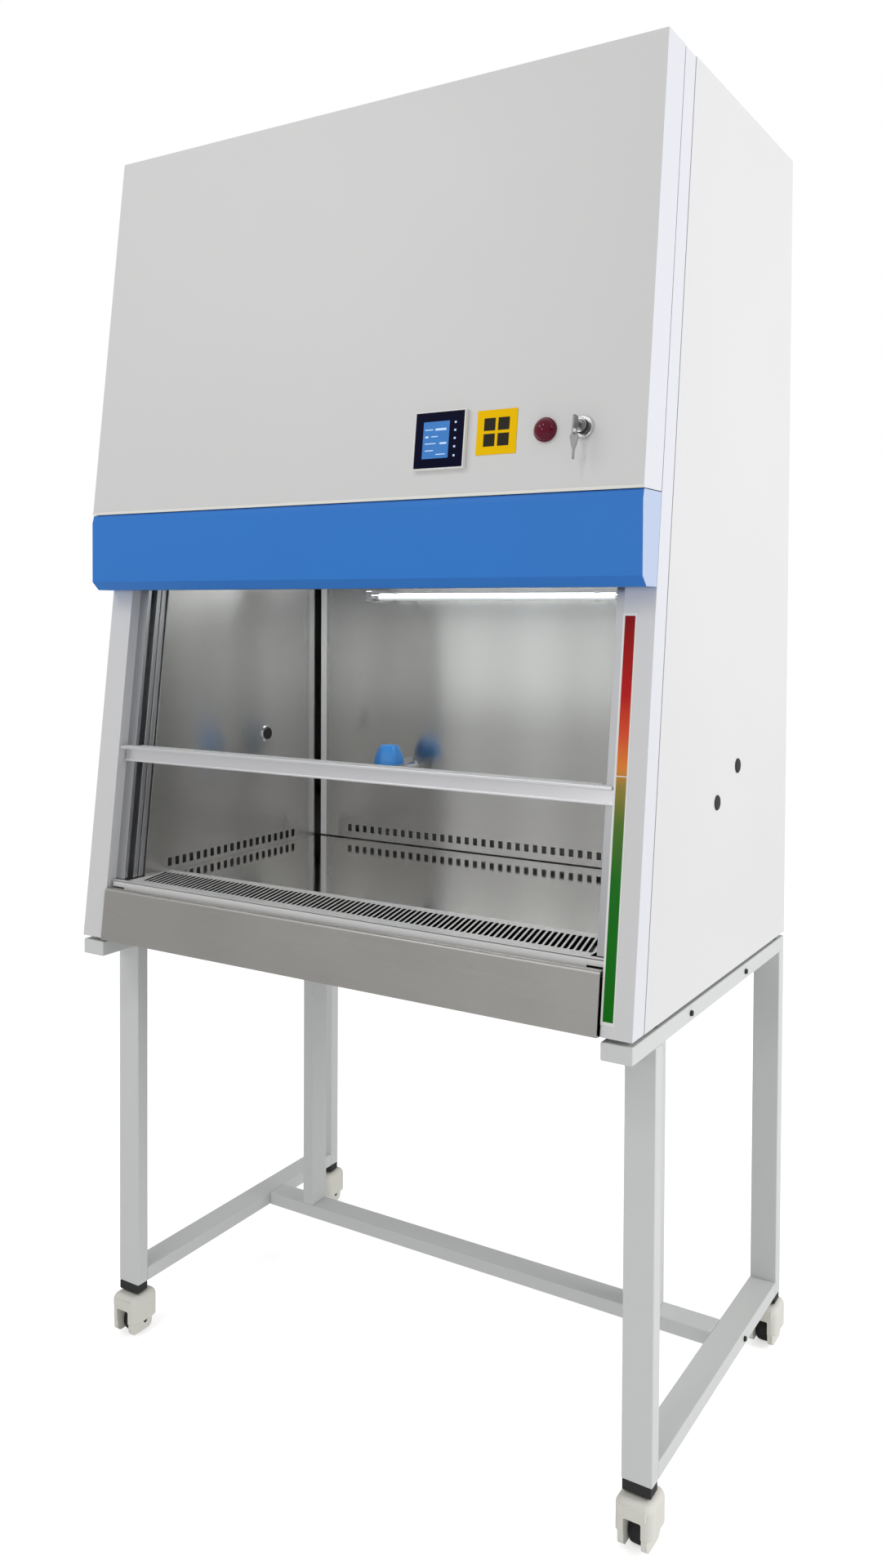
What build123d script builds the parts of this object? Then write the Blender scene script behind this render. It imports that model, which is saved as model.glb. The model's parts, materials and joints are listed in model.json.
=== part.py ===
"""Biosafety cabinet on a wheeled tube stand, built as separate named pieces.

Millimetres, +Z up, +X to the user's right, the user in front at -Y.  The origin is the middle of the
bounding box at floor level.  Every piece is written to parts/NODE.step.
"""
from build123d import *
import os
from math import atan2, cos, degrees, hypot, radians, sin

# Overall
WIDTH = 1100.0              # across the side panels and the stand
HEIGHT = 2250.0
BODY_DEPTH = 742.0          # drain panel front to rear panel
LEAN = 0.1194               # how far the front leans back for each millimetre of height
SHEET = 2.0
SEAM = 1.0                  # open joint between neighbouring covers
COVER_GAP = 2.0             # shadow gap between the hood, the posts and the side panels
TOUCH_FREE = 0.5            # gap beside a moving piece

# Stand
TUBE_W = 50.0
TUBE_D = 26.0
TUBE_WALL = 2.0
LEG_BOTTOM = 100.0
RAIL_TOP = 786.0
CABINET_Z = 793.0
LEG_FRONT_INSET = 96.7      # front legs stand this far behind the drain panel
RAIL_FRONT_INSET = 8.0
CROSS_BAR_FORE = 250.0      # front of the cross bars, ahead of the rear panel
MIDDLE_POST_W = 25.0
MIDDLE_POST_LEFT = -396.5
MIDDLE_POST_RIGHT = 380.5
BOLT_D = 9.0
BOLT_HEAD = 4.0
BOLTS_FORE = (502.0, 232.0, 215.0)   # two in the upper rail, one in the lower, ahead of the rear

# Casters
CASTER_W = 61.0
CASTER_FRONT = 30.0
CASTER_BACK = 36.0
CASTER_TOP = 80.0
CASTER_LOBE_Z = 28.0
CASTER_PLATE_GAP = 2.0
WHEEL_D = 50.0
WHEEL_W = 24.0
WHEEL_GAP = 2.0
WHEEL_TRAIL = 8.0
FORK_T = 9.5
FORK_FRONT = 28.0
FORK_BOTTOM = 8.0
VISOR_W = 44.0
VISOR_PROUD = 1.5
OPENING_TOP = 54.0
AXLE_D = 10.0
SWIVEL_D = 12.0
BORE_GAP = 0.05             # radial clearance of every running shaft

# Front frame, sash and hood (depths behind the front plane are horizontal)
POST_W = 50.0
POST_RETURN = 42.6
GUIDE_FRONT = 21.5
SLOT_FRONT = 29.6
SLOT_BACK = 40.0
LIP_BACK = 50.0
GROOVE_BACK = 52.5
GUIDE_BACK = 66.0
GUIDE_W = 26.0
GUIDE_WEB = 4.0
GUIDE_BOTTOM_Z = 899.0
GUIDE_TOP_Z = 2160.0
GLASS_T = 6.0
GLASS_EDGE = 10.0           # glass edge to the inner face of the post
GLASS_H = 700.0
RAIL_BOTTOM_Z = 1117.0
SASH_RAIL_H = 29.0
RAIL_FACE = 17.0            # front face of the rail, behind the front plane
RAIL_WALL = 3.0
RAIL_SEAT = 4.0             # metal under the glass and over its top edge
CLAMP_H = 30.0
HOOD_PROUD = 68.6
HOOD_FOLD = 25.0
BAND_BOTTOM_Z = 1436.4
BAND_TOP_Z = 1574.8
BAND_FRONT = 29.5           # band front, behind the drain panel front
BAND_CHAMFER = 15.0
BAND_TOP_BEVEL = (4.0, 14.0)    # set back and height of the sloping upper strip

# Sash balance: two belts over two cross shafts
SHAFT_D = 12.0
PULLEY_D = 30.0
PULLEY_FLANGE_D = 38.0
PULLEY_X = 440.0
PULLEY_HALF = 8.0
BELT_W = 12.0
BELT_T = 1.5
SHAFT_SETBACK = 63.0
GRIP_GAP = 0.3              # sash grips beside the belt runs
UPPER_SHAFT_Z = 2120.0
LOWER_SHAFT_Z = 1600.0

# Drain panel, grille, floor and chamber
DRAIN_H = 93.0
DRAIN_PROUD = 6.4
DRAIN_SIDE_GAP = 2.5
DRAIN_LIP = 15.0
DRAIN_ROLL = 5.5            # outer radius of the rolled lip
DRAIN_TURN = 12.0           # depth of the turned-down rear edge
FLOOR_Z = 898.0
FLOOR_FRONT = 586.0         # front edge of the work floor, ahead of the rear panel
CHAMBER_HALF = 470.0
CHAMBER_TOP = 1578.0
BAFFLE_SETBACK = 123.4
BAFFLE_EDGE = 24.0          # open edge between the baffle and each chamber wall
BAFFLE_BEVEL = 13.0
WALL_BACK = 91.0
SLOT_PITCH = 20.0
BACK_SLOT = (10.0, 15.0)
BACK_SLOT_Z = 914.0
BACK_SLOT_MARGIN = 56.0     # last slot from the edge of the baffle
SIDE_SLOT = (10.3, 16.0)
SIDE_SLOT_Z = 906.0
SIDE_SLOTS = 20
SIDE_SLOT_FRONT = 596.0
GRILLE_SLOT_L = 82.7
GRILLE_SLOT_W = 6.5
GRILLE_PITCH = 10.5
GRILLE_SLOTS = 87
GRILLE_SLANT = 14.7
GRILLE_FORE = 647.0         # middle of the slots, ahead of the rear panel

# Outer sheets (heights from the floor, depths ahead of the rear panel)
PANEL_FOLD = 18.0
SWAGES_Z = (1150.0, 1500.0, 1850.0)
SWAGE_HALF_W = 460.0
SWAGE_HALF_H = 12.0
FOOT_D = 40.0
SIDE_HOLES = ((287.6, 1139.6), (389.8, 1089.1))
SIDE_HOLE_D = 20.0
PLUG_FLANGE_D = 25.0
WALL_PLUG = (300.0, 1139.5)
WALL_HOLE_D = 24.0
WALL_RING_D = 36.0
PLUG_GAP = 0.1
INLET_X = -400.0
INLET_Z = 980.0
INLET_W = 50.0
INLET_H = 32.0
INLET_BODY_W = 27.0
INLET_BODY_H = 21.0
INLET_WALL = 2.0
LOUVRE_HALF = 300.0
LOUVRE_W = 14.0
LOUVRE_PITCH = 28.0
LOUVRES = 12
STRIP_IN = 46.6             # inner edge of the colour strip from the side
STRIP_W = 16.0
STRIP_Z = (815.7, 1394.5)

# Controls on the hood (centre across and up, then size)
MODULE_AT = (208.5, 1664.8)
MODULE_W = 93.0
MODULE_FRAME = 2.5
MODULE_T = 9.0
SCREEN_AT = (202.0, 1665.2)
SCREEN_W = 47.6
SCREEN_H = 58.8
SCREEN_T = 1.8
SCREEN_GAP = 0.2
SCREEN_SEAT = 5.6           # screen pocket floor above the hood face
SCREEN_SUNK = 1.5           # face of the module below its frame
PLATE_AT = (305.9, 1672.2)
PLATE_W = 69.5
PLATE_T = 1.2
ALARM_AT = (389.0, 1669.0)
ALARM_D = 37.0
DOME_R = 17.3
LOCK_AT = (450.5, 1668.8)
LOCK_D = 34.0
BARREL_D = 22.0
BARREL_H = 14.0
ROTOR_D = 16.0
ROTOR_SEAT = 6.0
KEY_T = 2.2
KEY_STANDOFF = 29.0         # spare key above the hood face

# Tap, lamp, fan and filters
TAP_X = -224.0
TAP_FORE = 200.0            # ahead of the rear panel
TAP_Z = 1068.0
TAP_SPINDLE_D = 10.0
TAP_HANDLE_LIFT = 13.0
LAMP_HALF = 286.0
LAMP_Z = 1430.0
LAMP_FORE = 165.0
LAMP_D = 16.0
LAMP_CAP = 14.0
LAMP_CLIP_X = 232.0
LAMP_CLIP_GAP = 0.3
FAN_Z = 1900.0
FAN_Y = 60.0
SCROLL_R = 175.0
SCROLL_HALF = 150.0
SCROLL_WALL = 3.0
IMPELLER_R = 115.0
IMPELLER_HALF = 120.0
BLADES = 24
BLADE_H = 14.0
FAN_RING_T = 4.0
FAN_SHAFT_D = 16.0
MOTOR_D = 90.0
FILTER_T = 70.0
FILTER_DEPTH = 400.0
FILTER_RIM = 20.0

# Derived
HALF = WIDTH / 2
DEPTH = BODY_DEPTH - TUBE_D / 2 + CASTER_BACK
FRONT_Y = -DEPTH / 2
REAR_Y = FRONT_Y + BODY_DEPTH
FACE_Y = FRONT_Y + DRAIN_PROUD
TILT = degrees(atan2(LEAN, 1.0))
LEG_X = HALF - TUBE_W / 2
FRONT_LEG_Y = FRONT_Y + LEG_FRONT_INSET + TUBE_D / 2
REAR_LEG_Y = REAR_Y - TUBE_D / 2
CROSS_Y = REAR_Y - CROSS_BAR_FORE
BAFFLE_Y = REAR_Y - BAFFLE_SETBACK
BAFFLE_HALF = CHAMBER_HALF - BAFFLE_EDGE
BACK_SLOTS = 2 * int((BAFFLE_HALF - BACK_SLOT_MARGIN) / SLOT_PITCH) + 1
TAP_Y = REAR_Y - TAP_FORE
LAMP_Y = REAR_Y - LAMP_FORE
GLASS_BACK = (SLOT_FRONT + SLOT_BACK) / 2 - GLASS_T / 2
POST_INNER = HALF - POST_W
GLASS_HALF = POST_INNER - GLASS_EDGE
LEDGE_Z = FLOOR_Z - SHEET


def face_y(z, back=0.0):
    """Y of the leaning front plane at height z, moved back by a horizontal distance."""
    return FACE_Y + LEAN * (z - CABINET_Z) + back


def block(x0, x1, y0, y1, z0, z1):
    """Box between limits."""
    return Pos(x0, y0, z0) * Box(x1 - x0, y1 - y0, z1 - z0, align=(Align.MIN, Align.MIN, Align.MIN))


def prism_x(points, x0, x1):
    """Prism along X with a (y, z) outline."""
    outline = make_face(Plane.YZ * Polyline(*points, close=True))
    return Pos(x0, 0, 0) * extrude(outline, amount=x1 - x0, dir=(1, 0, 0))


def slab(x0, x1, z0, z1, back0, back1):
    """Piece between two planes parallel to the leaning front."""
    points = [
        (face_y(z0, back0), z0),
        (face_y(z0, back1), z0),
        (face_y(z1, back1), z1),
        (face_y(z1, back0), z1),
    ]
    return prism_x(points, x0, x1)


def rod_x(radius, x0, x1, y, z):
    """Round bar along X."""
    return Pos(x0, y, z) * (Plane.YZ * Cylinder(radius, x1 - x0, align=(Align.CENTER, Align.CENTER, Align.MIN)))


def group(pieces):
    """Several solids in one node."""
    return Compound(children=list(pieces))


def both_sides(shape):
    """The shape and its mirror image across the middle plane."""
    return [shape, mirror(shape, about=Plane.YZ)]


def on_end(shape):
    """Shape turned so that its Z axis runs along X."""
    return Plane.YZ * shape


def stand_up(radius, height):
    """Upright cylinder on its base."""
    return Cylinder(radius, height, align=(Align.CENTER, Align.CENTER, Align.MIN))


def hood_plane(x, z):
    """Work plane on the hood front at (x, z), with Y up the slope and Z outward."""
    origin = (x, face_y(z, -HOOD_PROUD), z)
    return Plane(origin=origin, x_dir=(1, 0, 0), z_dir=(0, -cos(radians(TILT)), sin(radians(TILT))))


# ---------------------------------------------------------------- stand
def tube(x0, x1, y0, y1, z0, z1, along, closed=False):
    """Rectangular tube; closed keeps a wall at both ends."""
    outer = block(x0, x1, y0, y1, z0, z1)
    inset = {"x": (0, 1, 1), "y": (1, 0, 1), "z": (1, 1, 0)}[along]
    dx, dy, dz = (TUBE_WALL if side or closed else -TUBE_WALL for side in inset)
    return outer - block(x0 + dx, x1 - dx, y0 + dy, y1 - dy, z0 + dz, z1 - dz)


def leg(x, y):
    """Upright tube from the caster to the upper rail."""
    top = RAIL_TOP - TUBE_D - SEAM
    across = (x - TUBE_W / 2, x + TUBE_W / 2)
    along = (y - TUBE_D / 2, y + TUBE_D / 2)
    return tube(*across, *along, LEG_BOTTOM, top, "z", closed=True)


def upper_rail(side):
    """Side rail under the cabinet, reaching ahead of the front leg."""
    x = side * LEG_X
    across = (x - TUBE_W / 2, x + TUBE_W / 2)
    along = (FRONT_Y + RAIL_FRONT_INSET, REAR_Y)
    return tube(*across, *along, RAIL_TOP - TUBE_D - SEAM, RAIL_TOP, "y", closed=True)


def lower_rail(side):
    """Side rail between the feet of the legs."""
    x = side * LEG_X
    y0 = FRONT_LEG_Y + TUBE_D / 2
    y1 = REAR_LEG_Y - TUBE_D / 2
    return tube(x - TUBE_W / 2, x + TUBE_W / 2, y0, y1, LEG_BOTTOM, LEG_BOTTOM + TUBE_D, "y")


def cross_bar(z0):
    """Tube across the stand between the side rails."""
    return tube(-POST_INNER, POST_INNER, CROSS_Y, CROSS_Y + TUBE_W, z0, z0 + TUBE_D, "x")


def middle_posts():
    """Two slim uprights between the cross bars."""
    z0 = LEG_BOTTOM + TUBE_D
    z1 = RAIL_TOP - TUBE_D
    half = MIDDLE_POST_W / 2
    return group(
        tube(x - half, x + half, CROSS_Y, CROSS_Y + TUBE_W, z0, z1, "z")
        for x in (MIDDLE_POST_LEFT, MIDDLE_POST_RIGHT)
    )


def stand_bolts():
    """Button-head bolts on the outer faces of the rails."""
    upper = RAIL_TOP - TUBE_D / 2
    lower = LEG_BOTTOM + TUBE_D / 2
    heads = []
    for fore, z in ((BOLTS_FORE[0], upper), (BOLTS_FORE[1], upper), (BOLTS_FORE[2], lower)):
        y = REAR_Y - fore
        head = fillet(Cylinder(BOLT_D / 2, BOLT_HEAD).edges().group_by(Axis.Z)[-1], 1.5)
        head = Pos(HALF + BOLT_HEAD / 2, y, z) * on_end(head)
        heads += both_sides(head)
    return group(heads)


# ---------------------------------------------------------------- casters
def caster_plate():
    """Black swivel plate with its pivot pin."""
    z0 = CASTER_TOP + CASTER_PLATE_GAP
    plate = block(-TUBE_W / 2 + 2, TUBE_W / 2 - 2, -TUBE_D / 2, TUBE_D / 2, z0, LEG_BOTTOM)
    plate = chamfer(plate.edges().group_by(Axis.Z)[0], 3.0)
    pin = Pos(0, 0, z0 - 20) * Cylinder(SWIVEL_D / 2, 25, align=(Align.CENTER, Align.CENTER, Align.MIN))
    return plate + pin


def caster_body():
    """Moulded hood over the wheel: side lobes, fork cheeks down to the axle and a visor in front."""
    well = WHEEL_W / 2 + WHEEL_GAP
    hood = block(-CASTER_W / 2, CASTER_W / 2, -CASTER_FRONT, CASTER_BACK, CASTER_LOBE_Z, CASTER_TOP)
    hood = fillet(hood.edges().filter_by(Axis.Z), 14.0)
    hood = fillet(hood.edges().group_by(Axis.Z)[-1], 12.0)
    hood = chamfer(hood.edges().group_by(Axis.Z)[0], 3.0)
    fork = well + FORK_T
    cheek = block(-fork, fork, -FORK_FRONT, WHEEL_TRAIL + 17.0, FORK_BOTTOM, OPENING_TOP)
    cheek = fillet(cheek.edges().filter_by(Axis.X).group_by(Axis.Z)[0], 11.0)
    visor = block(-VISOR_W / 2, VISOR_W / 2, -CASTER_FRONT - VISOR_PROUD, 0, OPENING_TOP + 5, CASTER_TOP - 6)
    visor = fillet(visor.edges().filter_by(Axis.Z), 1.2)
    body = hood + cheek + visor
    arch = block(-well, well, -CASTER_FRONT - 3, CASTER_BACK + 1, -1, OPENING_TOP)
    arch = fillet(arch.edges().filter_by(Axis.Y).group_by(Axis.Z)[-1], 2.5)
    body = body - arch
    body = body - Pos(0, 0, CASTER_TOP) * Cylinder(SWIVEL_D / 2 + BORE_GAP, 38.0)
    bore = rod_x(AXLE_D / 2 + BORE_GAP, -fork, fork, WHEEL_TRAIL, WHEEL_D / 2)
    return body - bore


def caster_wheel():
    """Single wheel with a grooved tread and stub axles."""
    radius = WHEEL_D / 2
    half = WHEEL_W / 2
    stub = half + WHEEL_GAP + FORK_T - TOUCH_FREE
    wheel = Cylinder(radius, WHEEL_W)
    wheel = fillet(wheel.edges(), 4.0)
    dish = Cylinder(radius - 8.0, 3.0)
    wheel = wheel - [Pos(0, 0, half) * dish, Pos(0, 0, -half) * dish]
    wheel = wheel + Cylinder(AXLE_D / 2, 2 * stub)
    return on_end(wheel)


# ---------------------------------------------------------------- shell
def base_pan():
    """Bottom tray with feet, a drain sump and the ledges that carry the floor and grille."""
    z1 = CABINET_Z + SHEET + 1
    pan = prism_x(
        [
            (face_y(CABINET_Z, GUIDE_BACK), CABINET_Z),
            (REAR_Y - SHEET, CABINET_Z),
            (REAR_Y - SHEET, z1),
            (face_y(z1, GUIDE_BACK), z1),
        ],
        -HALF + SHEET,
        HALF - SHEET,
    )
    pan += slab(-POST_INNER + SEAM, POST_INNER - SEAM, CABINET_Z, z1, SHEET - DRAIN_PROUD, GUIDE_BACK)
    ledge_x = CHAMBER_HALF - SHEET
    grille_y = REAR_Y - FLOOR_FRONT
    front = face_y(LEDGE_Z, DRAIN_LIP - DRAIN_PROUD + SHEET)
    for side in (-1, 1):
        web = sorted((side * ledge_x, side * (ledge_x - SHEET)))
        flange = sorted((side * ledge_x, side * (ledge_x - 18.0)))
        pan += block(*web, front, BAFFLE_Y - 12, z1, LEDGE_Z)
        pan += block(*flange, front, BAFFLE_Y - 12, LEDGE_Z - SHEET, LEDGE_Z)
    pan += block(-ledge_x, ledge_x, front, front + SHEET, z1, LEDGE_Z)
    pan += block(-ledge_x, ledge_x, grille_y - 9, grille_y + 9, LEDGE_Z - SHEET, LEDGE_Z)
    foot = stand_up(FOOT_D / 2, CABINET_Z - RAIL_TOP)
    for x in (-LEG_X, LEG_X):
        for y in (FRONT_LEG_Y, REAR_LEG_Y - TUBE_D):
            pan += Pos(x, y, RAIL_TOP) * foot
    return pan


def side_panel(holes=()):
    """Right outer side sheet with folded front and rear returns, and holes for service plugs."""
    front = POST_RETURN + COVER_GAP
    outline = [
        (face_y(CABINET_Z, front), CABINET_Z),
        (REAR_Y, CABINET_Z),
        (REAR_Y, HEIGHT),
        (face_y(HEIGHT, front), HEIGHT),
    ]
    panel = prism_x(outline, HALF - SHEET, HALF)
    z0 = CABINET_Z + 3 * SHEET
    z1 = HEIGHT - 3 * SHEET
    panel += slab(HALF - PANEL_FOLD, HALF - SHEET, z0, z1, front, front + SHEET)
    panel += block(HALF - PANEL_FOLD, HALF - SHEET, REAR_Y - 2 * SHEET, REAR_Y - SHEET, z0, z1)
    for fore, z in holes:
        panel -= rod_x(SIDE_HOLE_D / 2, HALF - 2 * SHEET, HALF + SHEET, REAR_Y - fore, z)
    return panel


def rear_panel():
    """Rear sheet with shallow stiffening swages and the inlet cut-out."""
    panel = block(-HALF + SHEET, HALF - SHEET, REAR_Y - SHEET, REAR_Y, CABINET_Z, HEIGHT)
    swage = block(-SWAGE_HALF_W, SWAGE_HALF_W, REAR_Y - SHEET, REAR_Y + SHEET, -SWAGE_HALF_H, SWAGE_HALF_H)
    for z in SWAGES_Z:
        panel += Pos(0, 0, z) * swage
    half_w = INLET_BODY_W / 2 + TOUCH_FREE
    half_h = INLET_BODY_H / 2 + TOUCH_FREE
    hole = block(-half_w, half_w, REAR_Y - 2 * SHEET, REAR_Y + SHEET, -half_h, half_h)
    return panel - Pos(INLET_X, 0, INLET_Z) * hole


def mains_inlet():
    """Appliance inlet with its flange and three pins in a recess."""
    half_w = INLET_BODY_W / 2
    half_h = INLET_BODY_H / 2
    bore_w = half_w - INLET_WALL
    bore_h = half_h - INLET_WALL
    lip = REAR_Y + 4.0
    floor_y = REAR_Y - 12.0
    flange = block(-INLET_W / 2, INLET_W / 2, REAR_Y, lip, -INLET_H / 2, INLET_H / 2)
    flange = fillet(flange.edges().filter_by(Axis.Y), 4.0)
    shroud = block(-half_w, half_w, floor_y - 10.0, lip + 4.0, -half_h, half_h)
    recess = block(-bore_w, bore_w, floor_y, lip + 5.0, -bore_h, bore_h)
    pin = block(-1, 1, floor_y - 1.0, lip + 1.0, -3, 3)
    pins = [Pos(x, 0, z) * pin for x, z in ((-6, -2), (0, 3), (6, -2))]
    return Pos(INLET_X, 0, INLET_Z) * (flange + shroud - recess + pins)


def top_panel():
    """Roof sheet with a louvred exhaust opening."""
    z0 = HEIGHT - SHEET
    roof = block(-HALF + SHEET, HALF - SHEET, face_y(HEIGHT), REAR_Y - SHEET, z0, HEIGHT)
    louvre = block(-LOUVRE_HALF, LOUVRE_HALF, -LOUVRE_W / 2, LOUVRE_W / 2, z0 - 1, HEIGHT + 1)
    first = BAFFLE_Y - (LOUVRES - 0.5) * LOUVRE_PITCH
    return roof - [Pos(0, first + n * LOUVRE_PITCH, 0) * louvre for n in range(LOUVRES)]


def front_post():
    """Right front channel: face, outer return and inner return."""
    z0 = CABINET_Z
    z1 = HEIGHT - SHEET
    post = slab(POST_INNER, HALF, z0, z1, 0, SHEET)
    post += slab(HALF - SHEET, HALF, z0, z1, 0, POST_RETURN)
    post += slab(POST_INNER, POST_INNER + SHEET, z0, z1, 0, GUIDE_BACK)
    return post


def inner_wall():
    """Right chamber wall with its row of return slots."""
    z0 = CABINET_Z + SHEET + 1
    outline = [
        (face_y(z0, GUIDE_BACK), z0),
        (REAR_Y - WALL_BACK, z0),
        (REAR_Y - WALL_BACK, CHAMBER_TOP),
        (face_y(CHAMBER_TOP, GUIDE_BACK), CHAMBER_TOP),
    ]
    wall = prism_x(outline, CHAMBER_HALF, CHAMBER_HALF + SHEET)
    slot_w, slot_h = SIDE_SLOT
    start = REAR_Y - SIDE_SLOT_FRONT
    slot = block(CHAMBER_HALF - 1, CHAMBER_HALF + SHEET + 1, 0, slot_w, SIDE_SLOT_Z, SIDE_SLOT_Z + slot_h)
    return wall - [Pos(0, start + n * SLOT_PITCH, 0) * slot for n in range(SIDE_SLOTS)]


def left_inner_wall():
    """Left chamber wall: the mirror image with a hole for the service plug."""
    wall = mirror(inner_wall(), about=Plane.YZ)
    fore, z = WALL_PLUG
    return wall - rod_x(WALL_HOLE_D / 2, -CHAMBER_HALF - 2 * SHEET, -CHAMBER_HALF + SHEET, REAR_Y - fore, z)


def back_baffle():
    """Rear chamber wall with bevelled side returns and its row of return slots."""
    flat = BAFFLE_HALF - BAFFLE_BEVEL
    points = [
        (-BAFFLE_HALF, BAFFLE_Y + BAFFLE_BEVEL),
        (-flat, BAFFLE_Y),
        (flat, BAFFLE_Y),
        (BAFFLE_HALF, BAFFLE_Y + BAFFLE_BEVEL),
        (BAFFLE_HALF - SHEET, BAFFLE_Y + BAFFLE_BEVEL + SHEET),
        (flat - SHEET / 2, BAFFLE_Y + SHEET),
        (-flat + SHEET / 2, BAFFLE_Y + SHEET),
        (-BAFFLE_HALF + SHEET, BAFFLE_Y + BAFFLE_BEVEL + SHEET),
    ]
    z0 = FLOOR_Z + SHEET
    sheet = extrude(make_face(Pos(0, 0, z0) * Polyline(*points, close=True)), amount=CHAMBER_TOP - z0)
    slot_w, slot_h = BACK_SLOT
    slot = block(-slot_w / 2, slot_w / 2, BAFFLE_Y - 1, BAFFLE_Y + SHEET + 1, BACK_SLOT_Z, BACK_SLOT_Z + slot_h)
    return sheet - [Pos((n - (BACK_SLOTS - 1) / 2) * SLOT_PITCH, 0, 0) * slot for n in range(BACK_SLOTS)]


def work_floor():
    """Polished work floor, a tray with turned-down edges."""
    half = CHAMBER_HALF - SEAM
    y0 = REAR_Y - FLOOR_FRONT + SEAM / 2
    y1 = BAFFLE_Y - SEAM
    return block(-half, half, y0, y1, LEDGE_Z, FLOOR_Z)


def intake_grille():
    """Front air grille: a flat plate with a long row of slanted, round-ended slots."""
    half = CHAMBER_HALF - SEAM
    y0 = face_y(FLOOR_Z, DRAIN_LIP - DRAIN_PROUD + SHEET)
    y1 = REAR_Y - FLOOR_FRONT - SEAM / 2
    plate = block(-half, half, y0, y1, LEDGE_Z, FLOOR_Z)
    wide = POST_INNER - DRAIN_SIDE_GAP
    plate += block(-wide, wide, y0, face_y(FLOOR_Z, GUIDE_FRONT - SEAM), LEDGE_Z, FLOOR_Z)
    slot = Rot(0, 0, 90 + GRILLE_SLANT) * SlotOverall(GRILLE_SLOT_L, GRILLE_SLOT_W)
    cutter = Pos(0, REAR_Y - GRILLE_FORE, LEDGE_Z - 1) * extrude(slot, amount=SHEET + 2)
    cuts = [Pos((n - (GRILLE_SLOTS - 1) / 2) * GRILLE_PITCH, 0, 0) * cutter for n in range(GRILLE_SLOTS)]
    return plate - cuts


def drain_panel():
    """Stainless arm rest: a leaning front sheet rolled over at the top and turned down behind."""
    top = CABINET_Z + DRAIN_H
    front = -DRAIN_PROUD
    back_y = face_y(top, front + DRAIN_LIP)
    points = [
        (face_y(CABINET_Z, front), CABINET_Z),
        (face_y(top, front), top),
        (back_y, top),
        (back_y, top - DRAIN_TURN),
        (back_y - SHEET, top - DRAIN_TURN),
        (back_y - SHEET, top - SHEET),
        (face_y(top - SHEET, front + SHEET), top - SHEET),
        (face_y(CABINET_Z, front + SHEET), CABINET_Z),
    ]
    half = POST_INNER - DRAIN_SIDE_GAP
    panel = prism_x(points, -half, half)
    outer = panel.edges().filter_by(Axis.X).group_by(Axis.Z)[-1]
    panel = fillet(outer, DRAIN_ROLL)
    inner = panel.edges().filter_by(Axis.X).filter_by(lambda e: abs(e.center().Z - (top - SHEET)) < 0.01)
    return fillet(inner, DRAIN_ROLL - SHEET)


def scale_strip():
    """Long self-adhesive colour strip on the right post."""
    return slab(HALF - STRIP_IN, HALF - STRIP_IN + STRIP_W, *STRIP_Z, -SEAM, 0)


def wall_plugs():
    """Round plugs: one with a wide ring inside the chamber, two in the right side panel."""
    fore, z = WALL_PLUG
    y = REAR_Y - fore
    x = -CHAMBER_HALF
    plug = rod_x(WALL_HOLE_D / 2 - PLUG_GAP, x - 3 * SHEET, x + 5.0, y, z)
    pieces = [plug + rod_x(WALL_RING_D / 2, x, x + 2.5, y, z)]
    for fore, z in SIDE_HOLES:
        y = REAR_Y - fore
        stem = rod_x(SIDE_HOLE_D / 2 - PLUG_GAP, HALF - 4 * SHEET, HALF + 1.0, y, z)
        pieces.append(stem + rod_x(PLUG_FLANGE_D / 2, HALF, HALF + 2.5, y, z))
    return group(pieces)


# ---------------------------------------------------------------- sash
def sash_guide():
    """Right guide: web with a front lip, a glass slot and two rear lips, plus two bearing blocks."""
    x1 = POST_INNER
    x0 = x1 - GUIDE_W
    web = x1 - GUIDE_WEB
    z0 = GUIDE_BOTTOM_Z
    z1 = GUIDE_TOP_Z
    guide = slab(web, x1, z0, z1, GUIDE_FRONT, GUIDE_BACK)
    guide += slab(x0 + 5, web, z0, z1, GUIDE_FRONT, SLOT_FRONT)
    guide += slab(x0, web, z0, z1, SLOT_BACK, LIP_BACK)
    guide += slab(x0, web, z0, z1, GROOVE_BACK, GUIDE_BACK)
    for z in (UPPER_SHAFT_Z, LOWER_SHAFT_Z):
        y = face_y(z, SHAFT_SETBACK)
        guide += slab(x0, x1, z - 22, z + 22, SLOT_BACK, SHAFT_SETBACK + 20)
        guide -= rod_x(SHAFT_D / 2 + BORE_GAP, x0 - 1, x1 - GUIDE_WEB, y, z)
    return guide


def sash_glass():
    """Sliding front window."""
    z0 = RAIL_BOTTOM_Z + RAIL_SEAT
    return slab(-GLASS_HALF, GLASS_HALF, z0, z0 + GLASS_H, GLASS_BACK, GLASS_BACK + GLASS_T)


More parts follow.
